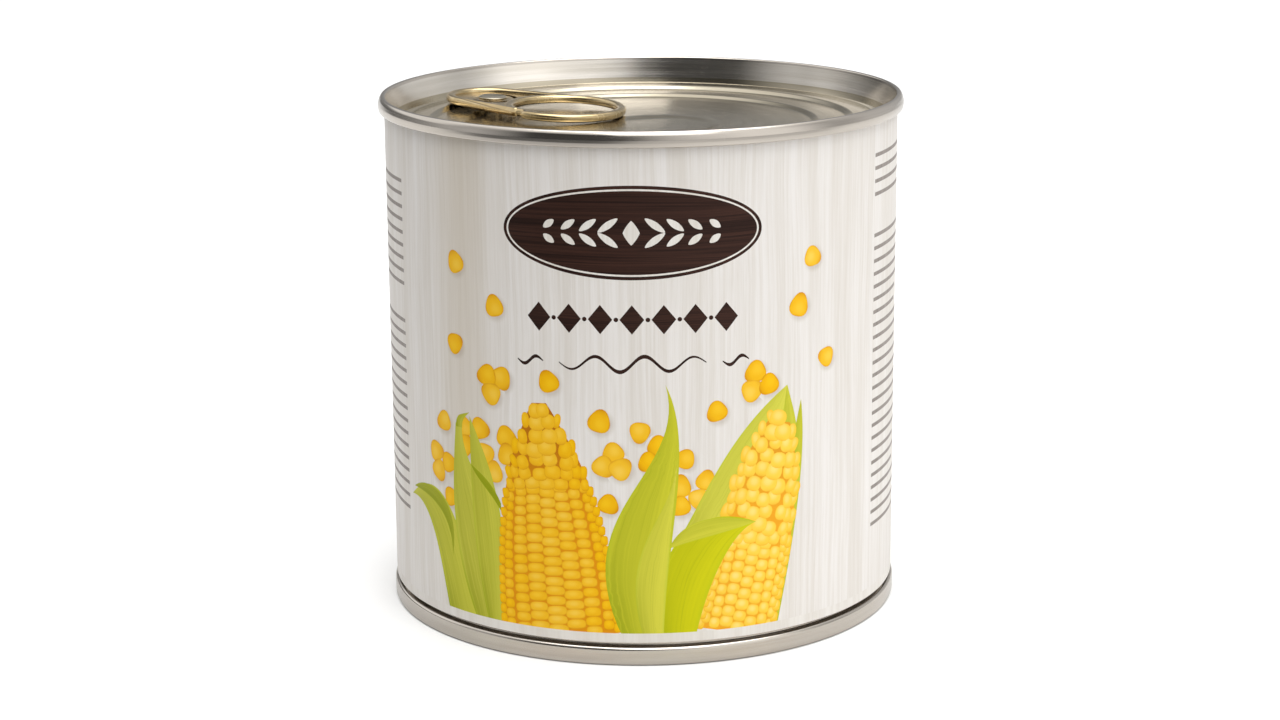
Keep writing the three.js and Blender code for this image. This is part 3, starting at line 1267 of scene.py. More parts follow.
        def height(place: Array) -> Array:
            """The web's middle, a little proud round the rivet.

            Args:
                place: Places on the tab.

            Returns:
                The height of the web's middle at each.
            """
            off = np.hypot(place[:, 0] - self.rivet_centre, place[:, 1])
            middle = self.web_rise + self.web_thickness / 2
            fall = smooth_step(off, self.island_radius, self.island_edge)
            return middle + self.island_rise * (1 - fall)

        half = self.web_thickness / 2
        return Plate(
            self.window(self.curl_width - self.web_lap),
            [self._slot()],
            guides,
            lambda place, inset: height(place) + half,
            lambda place, inset: height(place) - half,
        )

    def build(self, finish: Material) -> Object:
        """Makes the tab of its rolled edge and its web.

        Args:
            finish: Its finish.

        Returns:
            The piece.
        """
        points, faces = self._curl().build()
        web_points, web_faces = self._web().build()
        shift = len(points)
        faces += [tuple(i + shift for i in face) for face in web_faces]
        mesh = bpy.data.meshes.new("pull_tab_skin")
        mesh.from_pydata(np.vstack([points, web_points]).tolist(), [], faces)
        mesh.materials.append(finish)
        mesh.transform(self.place())
        smooth_by_angle(mesh, self.SMOOTH_BELOW)
        return finished_piece(mesh, "pull_tab_skin", ["pull_tab"])

    def build_rivet(self, lathe: Lathe, finish: Material) -> Object:
        """Turns the rivet's button and its shank.

        Args:
            lathe: What turns the profile.
            finish: Its finish.

        Returns:
            The piece.
        """
        seat = self.web_rise + self.web_thickness + 0.13
        crown = seat + self.rivet_height
        shank, foot = self.shank_radius, self.shank_foot
        mesh = lathe.turn("rivet_button", rounded([
            (0, foot, 0), (shank, foot, 0), (shank, seat, 0.1), (self.rivet_radius - 0.1, seat, 0.05),
            (self.rivet_radius, seat + 0.15, 0.1), (self.rivet_radius - 0.5, crown, 0.3),
            (self.rivet_radius - 1.1, crown - 0.14, 0.4), (0, crown - 0.18, 0),
        ]), 64, finish)
        along = Matrix.Translation((self.rivet_centre, 0, 0))
        mesh.transform(self.place() @ along @ Matrix.Scale(1 / MM, 4))
        return finished_piece(mesh, "rivet_button")


# ---- label ----


@dataclass
class PrintedShape:
    """A field of one ink on the flat label, laid over the shapes before it."""

    outline: Array
    ink: Ink
    place: Callable[[Array], Array]
    tone: float = 0.5
    rich: float = 0.0


FAR_OFF = 9.0  # across and along a field that has no inner pattern


def nowhere(places: Array) -> Array:
    """The place in a shape, for a field that has no inner pattern."""
    return np.full((len(places), 2), FAR_OFF)


def cut_above(outline: Array, height: float) -> Array:
    """What of an outline lies above a height.

    Args:
        outline: The points of a closed outline.
        height: The height of the level line it is cut along.

    Returns:
        The points of the part above the line, none where there is no such part.
    """
    kept = []
    for here, following in zip(outline, np.roll(outline, -1, axis=0)):
        if here[1] >= height:
            kept.append(here)
        if (here[1] - height) * (following[1] - height) < 0:
            share = (height - here[1]) / (following[1] - here[1])
            kept.append(here + share * (following - here))
    return np.array(kept)


def polygon(points: Iterable[Point], ink: Ink) -> PrintedShape:
    """A plain field with straight sides."""
    return PrintedShape(np.array(list(points), float), ink, nowhere)


@dataclass(frozen=True)
class Spot:
    """A round or squarish printed shape: a kernel, a dot, a lens or soft shade."""

    centre: Point
    half_width: float
    half_height: float
    turn: float = 0.0
    power: float = 2.0
    corners: int = 18
    lobes: float = 0.0  # how far three corners stand out
    rim: float = 1.0  # above 1, the tone of the edge reaches further in

    def _swell(self, angle: Array) -> Array:
        """How far the outline reaches in a direction, for its three corners."""
        return 1 + self.lobes * np.sin(3 * angle)

    def outline(self) -> Array:
        """Its outline on the label."""
        angle = np.arange(self.corners) * 2 * math.pi / self.corners
        x, y = (np.sign(f) * np.abs(f) ** (2 / self.power) for f in (np.cos(angle), np.sin(angle)))
        local = np.stack([x * self.half_width, y * self.half_height], axis=1)
        local *= self._swell(angle)[:, None]
        cos, sin = math.cos(self.turn), math.sin(self.turn)
        return local @ np.array([[cos, sin], [-sin, cos]]) + np.array(self.centre)

    def place(self, places: Array) -> Array:
        """Across and along the shape, both -1 to 1 inside it.

        Args:
            places: Places on the label.

        Returns:
            Two numbers for each place.
        """
        cos, sin = math.cos(self.turn), math.sin(self.turn)
        local = (places - np.array(self.centre)) @ np.array([[cos, -sin], [sin, cos]])
        local *= self.rim / np.array([self.half_width, self.half_height])
        return local / self._swell(np.arctan2(local[:, 1], local[:, 0]))[:, None]

    def printed(self, ink: Ink, tone: float = 0.5) -> PrintedShape:
        """The spot in an ink."""
        return PrintedShape(self.outline(), ink, self.place, tone)


Edge = tuple[Point, Point, Point, Point]


@dataclass(frozen=True)
class Leaf:
    """A husk leaf between two edges, each a Bezier from its foot to its tip."""

    left: Edge
    right: Edge
    tone: float  # 0 dark to 1 light
    rich: float  # 0 pale to 1 saturated
    steps: int = 28

    def _edges(self) -> tuple[Array, Array]:
        """Points along the left and the right edge."""
        share = np.linspace(0, 1, self.steps)
        return bezier(self.left, share), bezier(self.right, share)

    def outline(self) -> Array:
        """Its outline on the label, counter-clockwise."""
        left, right = self._edges()
        return np.vstack([right, left[-2::-1]])

    def place(self, places: Array) -> Array:
        """Across the leaf, -1 to 1 from left to right, and along it from 0 to 1.

        Args:
            places: Places on the label.

        Returns:
            Two numbers for each place.
        """
        left, right = self._edges()
        spokes = right[:-1] - left[:-1]
        lengths = np.maximum(np.linalg.norm(spokes, axis=1), 1e-6)
        off = places[:, None, :] - left[None, :-1, :]
        share = np.clip(np.einsum("ijk,jk->ij", off, spokes) / lengths**2, 0, 1)
        gap = np.linalg.norm(off - share[:, :, None] * spokes[None], axis=2)
        weight = 1 / np.maximum(gap, 1e-4) ** 3
        weight /= weight.sum(axis=1, keepdims=True)
        along = weight @ (np.arange(self.steps - 1) / (self.steps - 1))
        across = (weight * share).sum(axis=1) * 2 - 1
        return np.stack([across, along], axis=1)

    def printed(self) -> PrintedShape:
        """The leaf in its ink."""
        return PrintedShape(self.outline(), Ink.LEAF, self.place, self.tone, self.rich)


@dataclass(frozen=True)
class Cob:
    """A cob of corn seen from the side: kernels in rows on a body that narrows to its tip."""

    base: Point
    tip: Point
    half_width: float
    fullness: float  # how late the body narrows
    bluntness: float  # how blunt the tip is
    kernel_width: float
    kernel_height: float
    loose_from: float  # share of the length past which kernels lie loosely
    tone: float
    seed: int
    loose_width: float  # of the loose kernels
    swell: float  # how much taller they are

    LOOSE = 0.3  # above it, a row has its own count and stands alone
    WIDEST_TURN = math.radians(84)  # how far round the cob a kernel still shows

    @property
    def length(self) -> float:
        """From base to tip."""
        return math.dist(self.base, self.tip)

    @property
    def full_count(self) -> int:
        """How many kernels a packed row shows."""
        return round(math.pi * self.half_width / self.kernel_width)

    def _axes(self) -> tuple[Array, Array]:
        """Unit vectors to the right and along the cob."""
        along = (np.array(self.tip) - np.array(self.base)) / self.length
        return np.array([along[1], -along[0]]), along

    def _half_width_at(self, share: float) -> float:
        """Half the body's width, at a share of its length."""
        rest = max(0.0, 1 - max(share, 0.0) ** self.fullness)
        return self.half_width * rest**self.bluntness

    def _spot(self, across: float, ahead: float) -> Point:
        """A place on the label, from a place on the cob."""
        right, along = self._axes()
        return tuple(np.array(self.base) + right * across + along * ahead)

    def _body(self) -> PrintedShape:
        """What shows between the kernels."""
        shares = np.linspace(0, 1 - 0.9 * self.kernel_height / self.length, 24)
        drawn_in = 0.94 - 0.2 * smooth_step(shares, self.loose_from, 1.0)
        widths = [max(self._half_width_at(s) * d, 0.2) for s, d in zip(shares, drawn_in)]
        right = [self._spot(w, s * self.length) for s, w in zip(shares, widths)]
        left = [self._spot(-w, s * self.length) for s, w in zip(shares, widths)]
        outline = np.array(right + left[::-1])

        def place(places: Array) -> Array:
            """Across and along the cob, 0 to 1.

            Args:
                places: Places on the label.

            Returns:
                Two numbers for each place.
            """
            off = places - np.array(self.base)
            right_axis, along_axis = self._axes()
            across = np.abs(off @ right_axis) / self.half_width
            return np.stack([across, off @ along_axis / self.length], axis=1)

        return PrintedShape(outline, Ink.BETWEEN_KERNELS, place, self.tone)

    def _rows(self) -> Iterator[tuple[float, int, float]]:
        """Each row's place along the cob, its kernel count, and how loosely it lies."""
        ahead = self.kernel_height * 0.3
        while ahead < self.length - 0.3 * self.kernel_height:
            share = ahead / self.length
            loose = float(smooth_step(np.array(share), self.loose_from - 0.12, self.loose_from + 0.1))
            width = self._half_width_at(share)
            count = min(self.full_count, max(1, round(math.pi * width / self.loose_width)))
            yield ahead, count if loose > self.LOOSE else self.full_count, loose
            ahead += self.kernel_height * (1 + 0.72 * self.swell * loose)

    def printed(self) -> Iterator[PrintedShape]:
        """The body and then its kernels, the nearest to the tip last."""
        yield self._body()
        chance = random.Random(self.seed)
        lean = math.atan2(self.base[0] - self.tip[0], self.tip[1] - self.base[1])
        for number, (ahead, count, loose) in enumerate(self._rows()):
            alone = loose > self.LOOSE
            shift = 0.5 * (number % 2) if alone else 0.0
            order = sorted(range(-1, count + 1), key=lambda i: -abs(i + 0.5 + shift - count / 2))
            for column in order:
                drift = chance.uniform(-0.2, 0.2) * loose
                turn = (column + 0.5 + shift + drift) * math.pi / count - math.pi / 2
                if abs(turn) > self.WIDEST_TURN:
                    continue
                stagger = 0.0 if alone else 0.5 * (column % 2) + 0.13 * (column % 3)
                wobble = (0.05 + 0.17 * loose) * self.kernel_height
                at = min(ahead + self.kernel_height * stagger + chance.uniform(-wobble, wobble),
                         self.length - 0.6 * self.kernel_height)
                yield self._kernel(at, turn, count, loose, lean, chance)

    def _kernel(
        self, at: float, turn: float, count: int, loose: float, lean: float, chance: random.Random
    ) -> PrintedShape:
        """One kernel of the cob.

        Args:
            at: Its place along the cob.
            turn: Its place round the cob, 0 in the middle of what shows.
            count: How many kernels its row shows.
            loose: 0 where kernels are packed in rows, 1 where they lie loosely.
            lean: The cob's lean.
            chance: The cob's source of small differences.

        Returns:
            The printed kernel.
        """
        width = max(self._half_width_at(at / self.length), 0.35 * self.kernel_width)
        half = width * math.sin(math.pi / count / 2) * math.cos(turn)
        usual = self.kernel_width + (self.loose_width - self.kernel_width) * loose
        half = min(max(half, 0.4 * self.kernel_height), 0.54 * usual)
        size = chance.uniform(0.96, 1.03) + chance.uniform(-0.08, 0.12) * loose
        tall = self.kernel_height * (0.5 + 0.74 * self.swell * loose)
        reach = (width - 0.8 * half) * math.sin(turn)
        shade = 0.3 * (math.cos(turn) - 0.75) + chance.uniform(-0.08, 0.08)
        narrowing = self._half_width_at(at / self.length - 0.05) - width
        return Spot(
            self._spot(reach, at), half * size * (0.95 + 0.08 * loose), tall * size,
            turn=lean - 0.25 * math.sin(turn) * narrowing
            + chance.uniform(-0.03, 0.03) * (1 + 9 * loose),
            power=3.4 - 1.1 * loose, corners=14,
        ).printed(Ink.KERNEL, min(max(self.tone + shade, 0), 1))


@dataclass(frozen=True)
class Cluster:
    """Loose kernels that lie together on the label."""

    centre: Point
    count: int
    turn: float = 0.0

    SPACING = 3.2
    HALF_WIDTH = 1.74
    HALF_HEIGHT = 1.86
    JITTER = 0.25  # how far a kernel that has neighbours lies off its place
    LOBES = 0.085
    RIM = 1.09

    def kernels(self, chance: random.Random) -> Iterator[tuple[Spot, float]]:
        """Each kernel with its tone: one alone, or a few round the middle.

        Args:
            chance: The label's source of small differences.

        Returns:
            A kernel and its tone, for each.
        """
        ring = 0.0 if self.count == 1 else self.SPACING / (2 * math.sin(math.pi / self.count))
        for number in range(self.count):
            angle = self.turn + 2 * math.pi * number / self.count
            jitter = self.JITTER if self.count > 1 else 0.0
            x = self.centre[0] + ring * math.cos(angle) + chance.uniform(-jitter, jitter)
            y = self.centre[1] + ring * math.sin(angle) + chance.uniform(-jitter, jitter)
            size = chance.uniform(0.9, 1.04)
            yield Spot(
                (x, y), self.HALF_WIDTH * size, self.HALF_HEIGHT * size,
                turn=chance.uniform(-math.pi, math.pi), corners=24, lobes=self.LOBES, rim=self.RIM,
            ), chance.uniform(0.0, 0.35)


@dataclass(frozen=True)
class Plaque:
    """An oval plaque with a thin inner line and a sprig across it."""

    centre: Point = (0.0, 69.4)
    half_width: float = 20.6
    half_height: float = 7.3
    line_outside: float = 0.955  # the inner line's edges, as shares of the plaque
    line_inside: float = 0.93
    inset: float = 1.6  # how far a share brings them in, in half heights
    leaf_pairs: int = 4
    first_leaf: float = 3.6
    leaf_spacing: float = 3.1
    leaf_length: float = 1.9
    leaf_shortening: float = 0.28
    leaf_half_width: float = 0.55
    leaf_lift: float = 1.15
    leaf_lean: float = 0.62

    def printed(self) -> list[PrintedShape]:
        """The plaque, from its field of brown to its leaves."""
        made = []
        rings = ((1.0, Ink.BROWN), (self.line_outside, Ink.CREAM), (self.line_inside, Ink.BROWN))
        for share, ink in rings:
            inset = self.half_height * (1 - share) * self.inset
            made.append(Spot(self.centre, self.half_width - inset, self.half_height - inset,
                             corners=96).printed(ink))
        made.append(Spot(self.centre, 1.3, 1.9, power=1.2, corners=24).printed(Ink.CREAM))
        for side, pair, lift in product((-1, 1), range(self.leaf_pairs), (-1, 1)):
            reach = self.first_leaf + self.leaf_spacing * pair
            made.append(Spot(
                (self.centre[0] + side * reach, self.centre[1] + lift * self.leaf_lift),
                self.leaf_half_width, self.leaf_length - self.leaf_shortening * pair,
                turn=side * (math.pi / 2 - lift * self.leaf_lean), power=1.6, corners=20,
            ).printed(Ink.CREAM))
        return made


@dataclass(frozen=True)
class LozengeRow:
    """A row of dark lozenges with dots between them."""

    height: float = 55.9
    on_each_side: int = 3  # of the one in the middle
    spacing: float = 4.9
    half_width: float = 1.9
    half_height: float = 2.3
    dot_radius: float = 0.36

    def printed(self) -> list[PrintedShape]:
        """The lozenges and their dots, from left to right."""
        made = []
        for number in range(-self.on_each_side, self.on_each_side + 1):
            x = number * self.spacing
            made.append(polygon([
                (x - self.half_width, self.height), (x, self.height - self.half_height),
                (x + self.half_width, self.height), (x, self.height + self.half_height),
            ], Ink.BROWN))
            if number < self.on_each_side:
                made.append(Spot((x + self.spacing / 2, self.height), self.dot_radius,
                                 self.dot_radius, corners=14).printed(Ink.BROWN))
        return made


@dataclass(frozen=True)
class Wave:
    """A wavy line, thin at its ends."""

    x: float  # its middle, round the can
    reach: float  # half its length
    swing: float
    turns: float
    height: float = 48.9

    FLATTENING = 0.3  # how much less it swings at its ends
    THIN = 0.1  # half its thickness at its ends
    SWELL = 0.22  # and what its middle has more
    STEPS = 64

    def printed(self) -> PrintedShape:
        """The line in its ink."""
        share = np.linspace(-1, 1, self.STEPS)
        calm = 1 - self.FLATTENING * share**2
        rise = self.height + self.swing * np.sin(share * self.turns * math.pi) * calm
        thick = self.THIN + self.SWELL * (1 - share**2)
        line = self.x + share * self.reach
        lower = np.stack([line, rise - thick], axis=1)
        upper = np.stack([line, rise + thick], axis=1)
        return PrintedShape(np.vstack([lower, upper[::-1]]), Ink.BROWN, nowhere)


@dataclass(frozen=True)
class BarBlock:
    """Thin level bars one under another, even on one side and ragged on the other."""

    start: float  # its even side, round the can
    direction: int  # 1 where the bars run to the right, -1 to the left
    width: float
    top: float
    rows: int

    SPACING = 2.1
    THICKNESS = 0.62
    SHORTEST = 0.55  # of the block's width

    def printed(self, chance: random.Random) -> Iterator[PrintedShape]:
        """The bars from the top down.

        Args:
            chance: The blocks' source of small differences.

        Returns:
            Each bar's printed shape.
        """
        for row in range(self.rows):
            height = self.top - row * self.SPACING
            length = self.width * chance.uniform(self.SHORTEST, 1.0)
            left, right = sorted((self.start, self.start + self.direction * length))
            yield polygon([
                (left, height), (right, height),
                (right, height + self.THICKNESS), (left, height + self.THICKNESS),
            ], Ink.GREY)


@dataclass
class Artwork:
    """The label's print: pale wood, an oval plaque, ornaments, and corn along its foot."""

    foot: float = 5.3  # where the print ends above the white border
    middle: float = -1.6  # the front's middle, round the can
    plaque: Plaque = Plaque()
    lozenges: LozengeRow = LozengeRow()
    seed: int = 7

    UNDER_BORDER = 0.7  # how far the corn goes on under the border
    THINNEST = 0.2  # a shape that the foot leaves lower than this is dropped

    LEFT_COB = Cob(
        base=(-12.1, 4.6), tip=(-15.1, 43.5), half_width=10.3, fullness=2.2, bluntness=0.72,
        kernel_width=3.45, kernel_height=1.6, loose_from=0.66, tone=0.12, seed=3,
        loose_width=2.8, swell=0.42,
    )
    RIGHT_COB = Cob(
        base=(16.4, 4.6), tip=(24.3, 39.8), half_width=6.95, fullness=5.2, bluntness=0.6,
        kernel_width=2.5, kernel_height=1.85, loose_from=0.42, tone=0.66, seed=5,
        loose_width=2.75, swell=0.26,
    )
    OUTER_LEAF = Leaf(((-33.7, 4.2), (-36.2, 13.5), (-37.9, 22.8), (-45.1, 21.7)),
                      ((-25.5, 4.2), (-30.0, 16), (-33.0, 31.5), (-45.1, 21.7)), 0.62, 0.35)
    OUTER_FOLD = Leaf(((-32.8, 14.0), (-32.6, 21.5), (-38.0, 23.4), (-44.0, 23.2)),
                      ((-32.5, 16.0), (-31.5, 24.5), (-39.0, 26.4), (-44.2, 23.2)), 0.15, 0.5)
    TALL_LEAF = Leaf(((-27.1, 4.2), (-34.0, 18), (-32.2, 28), (-31.3, 37.6)),
                     ((-22.1, 4.2), (-20.0, 30), (-31.0, 27), (-29.9, 37.6)), 0.6, 0.2)
    TALL_TIP = Leaf(((-31.3, 36.0), (-31.4, 38.2), (-30.0, 38.2), (-28.2, 38.8)),
                    ((-29.9, 36.0), (-29.9, 37.4), (-29.4, 37.7), (-28.2, 38.8)), 0.45, 0.4)
    CURLED_LEAF = Leaf(((-24.8, 4.2), (-28.8, 20), (-28.0, 31.0), (-28.2, 38.2)),
                       ((-22.0, 4.2), (-20.2, 24), (-24.0, 30.5), (-28.2, 38.2)), 0.6, 0.3)
    CURL_SHADE = Leaf(((-22.1, 23.6), (-24.2, 26.6), (-26.6, 27.8), (-28.2, 30.4)),
                      ((-22.1, 24.8), (-23.6, 28.0), (-26.0, 29.2), (-28.2, 30.4)), 0.1, 0.8)
    MIDDLE_LEAF = Leaf(((-1.6, 4.2), (-11.8, 26), (9.0, 31), (5.1, 45.6)),
                       ((4.6, 4.2), (5.2, 22), (9.8, 36), (5.1, 45.6)), 0.7, 0.7)
    MIDDLE_FACE = Leaf(((1.6, 4.2), (-3.2, 20), (6.4, 24), (6.7, 33.0)),
                       ((4.6, 4.2), (5.0, 14), (5.9, 22), (6.9, 33.0)), 0.88, 0.45)
    BENT_LEAF = Leaf(((3.5, 4.2), (2.5, 19), (9.0, 27.5), (19.8, 22.4)),
                     ((9.7, 4.2), (11.0, 11), (15.0, 21.5), (19.8, 22.4)), 0.85, 1.0)
    BENT_FOLD = Leaf(((5.6, 19.4), (7.5, 23.6), (12.5, 25.1), (19.8, 22.4)),
                     ((5.6, 19.2), (9.0, 20.4), (13.0, 21.0), (19.8, 22.4)), 0.75, 0.55)
    LEFT_HUSK = Leaf(((6.2, 19.0), (12.0, 29.0), (15.5, 38.0), (25.4, 43.9)),
                     ((14.0, 19.0), (18.0, 30.0), (25.5, 36.0), (25.4, 43.9)), 0.85, 0.3)
    RIGHT_HUSK = Leaf(((20.0, 4.2), (24.0, 20), (25.6, 32), (28.1, 41.2)),
                      ((23.6, 4.2), (27.2, 20), (29.4, 32), (28.1, 41.2)), 0.6, 0.6)
    TIP_HUSK = Leaf(((24.2, 34.0), (24.6, 38), (24.8, 41), (25.4, 43.9)),
                    ((27.6, 34.0), (27.4, 38), (26.2, 41), (25.4, 43.9)), 0.7, 0.5)
    CLUSTERS = (
        Cluster((-30.6, 62.7), 1), Cluster((-22.7, 56.7), 1), Cluster((-31.1, 49.6), 1),
        Cluster((-23.2, 44.5), 3, 0.4), Cluster((-13.3, 45.6), 1), Cluster((-34.3, 36.3), 1),
        Cluster((-20.9, 35.9), 1), Cluster((-26.0, 36.5), 1), Cluster((-35.4, 29.6), 3, 0.1),
        Cluster((-24.1, 31.0), 2, 2.2), Cluster((-20.8, 33.0), 1), Cluster((-32.9, 24.0), 1),
        Cluster((-29.4, 34.7), 2, 1.55), Cluster((-5.2, 39.7), 1), Cluster((1.1, 38.1), 1),
        Cluster((-3.2, 33.1), 3, 1.45), Cluster((-3.9, 26.4), 1), Cluster((3.9, 35.9), 1),
        Cluster((2.4, 33.3), 1), Cluster((8.0, 33.6), 1), Cluster((7.35, 27.8), 2, 1.57),
        Cluster((10.8, 28.6), 2, 1.3), Cluster((13.2, 40.9), 1), Cluster((20.1, 44.9), 3, 1.9),
        Cluster((30.3, 63.7), 1), Cluster((27.6, 56.3), 1), Cluster((33.4, 47.2), 1),
    )
    WAVES = (
        Wave(x=0.0, reach=11.5, swing=1.25, turns=3.0),
        Wave(x=-16.3, reach=2.2, swing=0.7, turns=1.0),
        Wave(x=16.3, reach=2.2, swing=0.7, turns=1.0),
    )
    BAR_BLOCKS = (
        BarBlock(start=-46.5, direction=-1, width=22, top=73, rows=9),
        BarBlock(start=-46.5, direction=-1, width=22, top=50, rows=16),
        BarBlock(start=47.0, direction=1, width=22, top=77, rows=4),
        BarBlock(start=47.0, direction=1, width=22, top=64, rows=24),
        BarBlock(start=-78.0, direction=-1, width=34, top=70, rows=12),
        BarBlock(start=80.0, direction=1, width=34, top=70, rows=12),
    )

    def shapes(self) -> list[PrintedShape]:
        """Every printed shape, cut off at the print's foot, the undermost first."""
        made = self._bars()
        made += self._loose_kernels()
        made += [leaf.printed() for leaf in (self.LEFT_HUSK, self.TIP_HUSK, self.RIGHT_HUSK)]
        made += self.RIGHT_COB.printed()
        made += [leaf.printed() for leaf in (
            self.OUTER_LEAF, self.OUTER_FOLD, self.TALL_LEAF, self.TALL_TIP, self.CURLED_LEAF,
            self.CURL_SHADE,
        )]
        made += self.LEFT_COB.printed()
        made += [leaf.printed() for leaf in (
            self.BENT_LEAF, self.BENT_FOLD, self.MIDDLE_LEAF, self.MIDDLE_FACE,
        )]
        made += self.plaque.printed()
        made += self.lozenges.printed()
        made += [wave.printed() for wave in self.WAVES]
        for shape in made:
            outline = shape.outline + np.array([self.middle, 0.0])
            shape.outline = cut_above(outline, self.foot - self.UNDER_BORDER)
            shape.place = self._moved(shape.place)
        return [
            shape for shape in made
            if len(shape.outline) > 2 and np.ptp(shape.outline[:, 1]) > self.THINNEST
        ]

    def _moved(self, place: Callable) -> Callable:
        """The same inner pattern, moved with its shape to the front's middle."""
        return lambda places: place(places - np.array([self.middle, 0.0]))

    def _loose_kernels(self) -> list[PrintedShape]:
        """The loose kernels, each over its soft shade."""
        chance = random.Random(self.seed)
        spots = [pair for cluster in self.CLUSTERS for pair in cluster.kernels(chance)]
        shades = [
            Spot((s.centre[0] + 0.25, s.centre[1] - 0.35), s.half_width * 1.45,
                 s.half_height * 1.4).printed(Ink.GROUND)
            for s, _ in spots
        ]
        return shades + [s.printed(Ink.KERNEL, tone) for s, tone in spots]

    def _bars(self) -> list[PrintedShape]:
        """Blocks of thin bars at both sides and behind."""
        chance = random.Random(self.seed + 1)
        return [bar for block in self.BAR_BLOCKS for bar in block.printed(chance)]


@dataclass
class Label:
    """The paper label: one printed sheet wrapped round the wall, its end glued over its start."""

    radius: float = 42.3
    thickness: float = 0.12
    bottom: float = 3.8
    top: float = 82.4
    lap: float = 9.0  # how far the end lies over the start
    ramp: float = 3.5  # how far before the lap the end starts to lift
    lap_gap: float = 0.02  # between the start and the end that lies over it
    edge_bearing: float = 174.0  # of the visible edge, in degrees round from the front
    columns: int = 264
    rows: int = 30

    EDGE_MARGIN = 1e-4  # points this near the foot or the top are on it

    @property
    def span(self) -> tuple[float, float]:
        """Where the sheet starts and ends, round the can."""
        end = math.radians(self.edge_bearing) * self.radius
        return end - 2 * math.pi * self.radius - self.lap, end

    def _grid(self) -> tuple[list[Vector], list[tuple[int, int]]]:
        """Upright lines that make the sheet round, and level ones across all but its ends."""
        start, end = self.span
        across = np.linspace(start, end, self.columns + 1)
        points, edges = [], []
        for x in across[1:-1]:
            points += [Vector((x, self.bottom)), Vector((x, self.top))]
            edges.append((len(points) - 2, len(points) - 1))
        for height in np.linspace(self.bottom, self.top, self.rows + 1)[1:-1]:
            points += [Vector((across[1], height)), Vector((across[-2], height))]
            edges.append((len(points) - 2, len(points) - 1))
        return points, edges

    def _sheet(self, artwork: Artwork) -> list[PrintedShape]:
        """The bare sheet, the artwork and the white border along its foot.

        Args:
            artwork: What is printed on it.

        Returns:
            The printed shapes, the undermost first.
        """
        start, end = self.span
        whole = polygon([(start, self.bottom), (end, self.bottom), (end, self.top),
                         (start, self.top)], Ink.GROUND)
        border = polygon([(start, self.bottom), (end, self.bottom), (end, artwork.foot),
                          (start, artwork.foot)], Ink.BORDER)
        return [whole, *artwork.shapes(), border]

    def _radius_at(self, x: Array) -> Array:
        """The sheet's outer radius, which grows where its end lifts over its start.

        Args:
            x: Places round the can.

        Returns:
            The radius at each.
        """
        end = self.span[1]
        lift = smooth_step(x, end - self.lap - self.ramp, end - self.lap)
        return self.radius + (self.thickness + self.lap_gap) * lift

    def _wrap(self, flat: Array, inward: float) -> Array:
        """Wraps places of the flat sheet round the can.

        Args:
            flat: Places on the flat sheet.
            inward: How far in from the sheet's outside.

        Returns:
            The places on the can, in metres.
        """
        turn = flat[:, 0] / self.radius
        radius = self._radius_at(flat[:, 0]) - inward
        return np.stack([radius * np.sin(turn), -radius * np.cos(turn), flat[:, 1]], axis=1) * MM

    def build(self, artwork: Artwork, inks: list[Material]) -> Object:
        """Cuts the sheet along its print, wraps it and closes its back.

        Args:
            artwork: What is printed on it.
            inks: A material for each ink, in the order of Ink.

        Returns:
            The piece.
        """
        shapes = self._sheet(artwork)
        points, edges = self._grid()
        faces: list[list[int]] = []
        for shape in shapes:
            ids = list(range(len(points), len(points) + len(shape.outline)))
            points += [Vector(p) for p in shape.outline]
            edges += list(zip(ids, ids[1:] + ids[:1]))
            faces.append(ids)
        flat_points, _, triangles, _, _, owners = delaunay_2d_cdt(
            points, edges, faces, 0, CUT_MARGIN, True
        )
        flat = np.array([p[:] for p in flat_points])
        kept = [(t, max(owner)) for t, owner in zip(triangles, owners) if 0 in owner]
        front = [tuple(t) for t, _ in kept]
        owner = [o for _, o in kept]
        back_faces, rim_faces, count = self._back(flat, front)
        places = np.vstack([self._wrap(flat, 0.0), self._wrap(flat, self.thickness)])
        mesh = bpy.data.meshes.new("label_sheet")
        mesh.from_pydata(places.tolist(), [], front + rim_faces + back_faces)
        for ink in inks:
            mesh.materials.append(ink)
        slots = [int(shapes[o].ink) for o in owner] + [int(Ink.BORDER)] * count
        mesh.polygons.foreach_set("material_index", slots)
        mesh.polygons.foreach_set("use_smooth", [True] * len(slots))
        self._paint_places(mesh, flat, shapes, owner)
        self._set_normals(mesh, len(front))
        return finished_piece(mesh, "label_sheet", ["label"])

    def _back(
        self, flat: Array, front: list[tuple[int, ...]]
    ) -> tuple[list[tuple[int, ...]], list[tuple[int, ...]], int]:
        """The faces behind the sheet and round its edges, and their count.

        Args:
            flat: The flat sheet's points.
            front: The faces of its printed side.

        Returns:
            The back's faces, the rim's faces, and how many both are.
        """
        shift = len(flat)
        sides = {(t[i], t[(i + 1) % 3]) for t in front for i in range(3)}
        open_edges = sorted(edge for edge in sides if (edge[1], edge[0]) not in sides)
        rim = [(a + shift, b + shift, b, a) for a, b in open_edges]
        on_edge = sorted({i for edge in open_edges for i in edge})
        low, high = (
            sorted((i for i in on_edge if abs(flat[i, 1] - level) < self.EDGE_MARGIN),
                   key=lambda i: flat[i, 0])
            for level in (self.bottom, self.top)
        )
        back = [
            (low[i] + shift, high[i] + shift, high[i + 1] + shift, low[i + 1] + shift)
            for i in range(len(low) - 1)
        ]
        return back, rim, len(back) + len(rim)

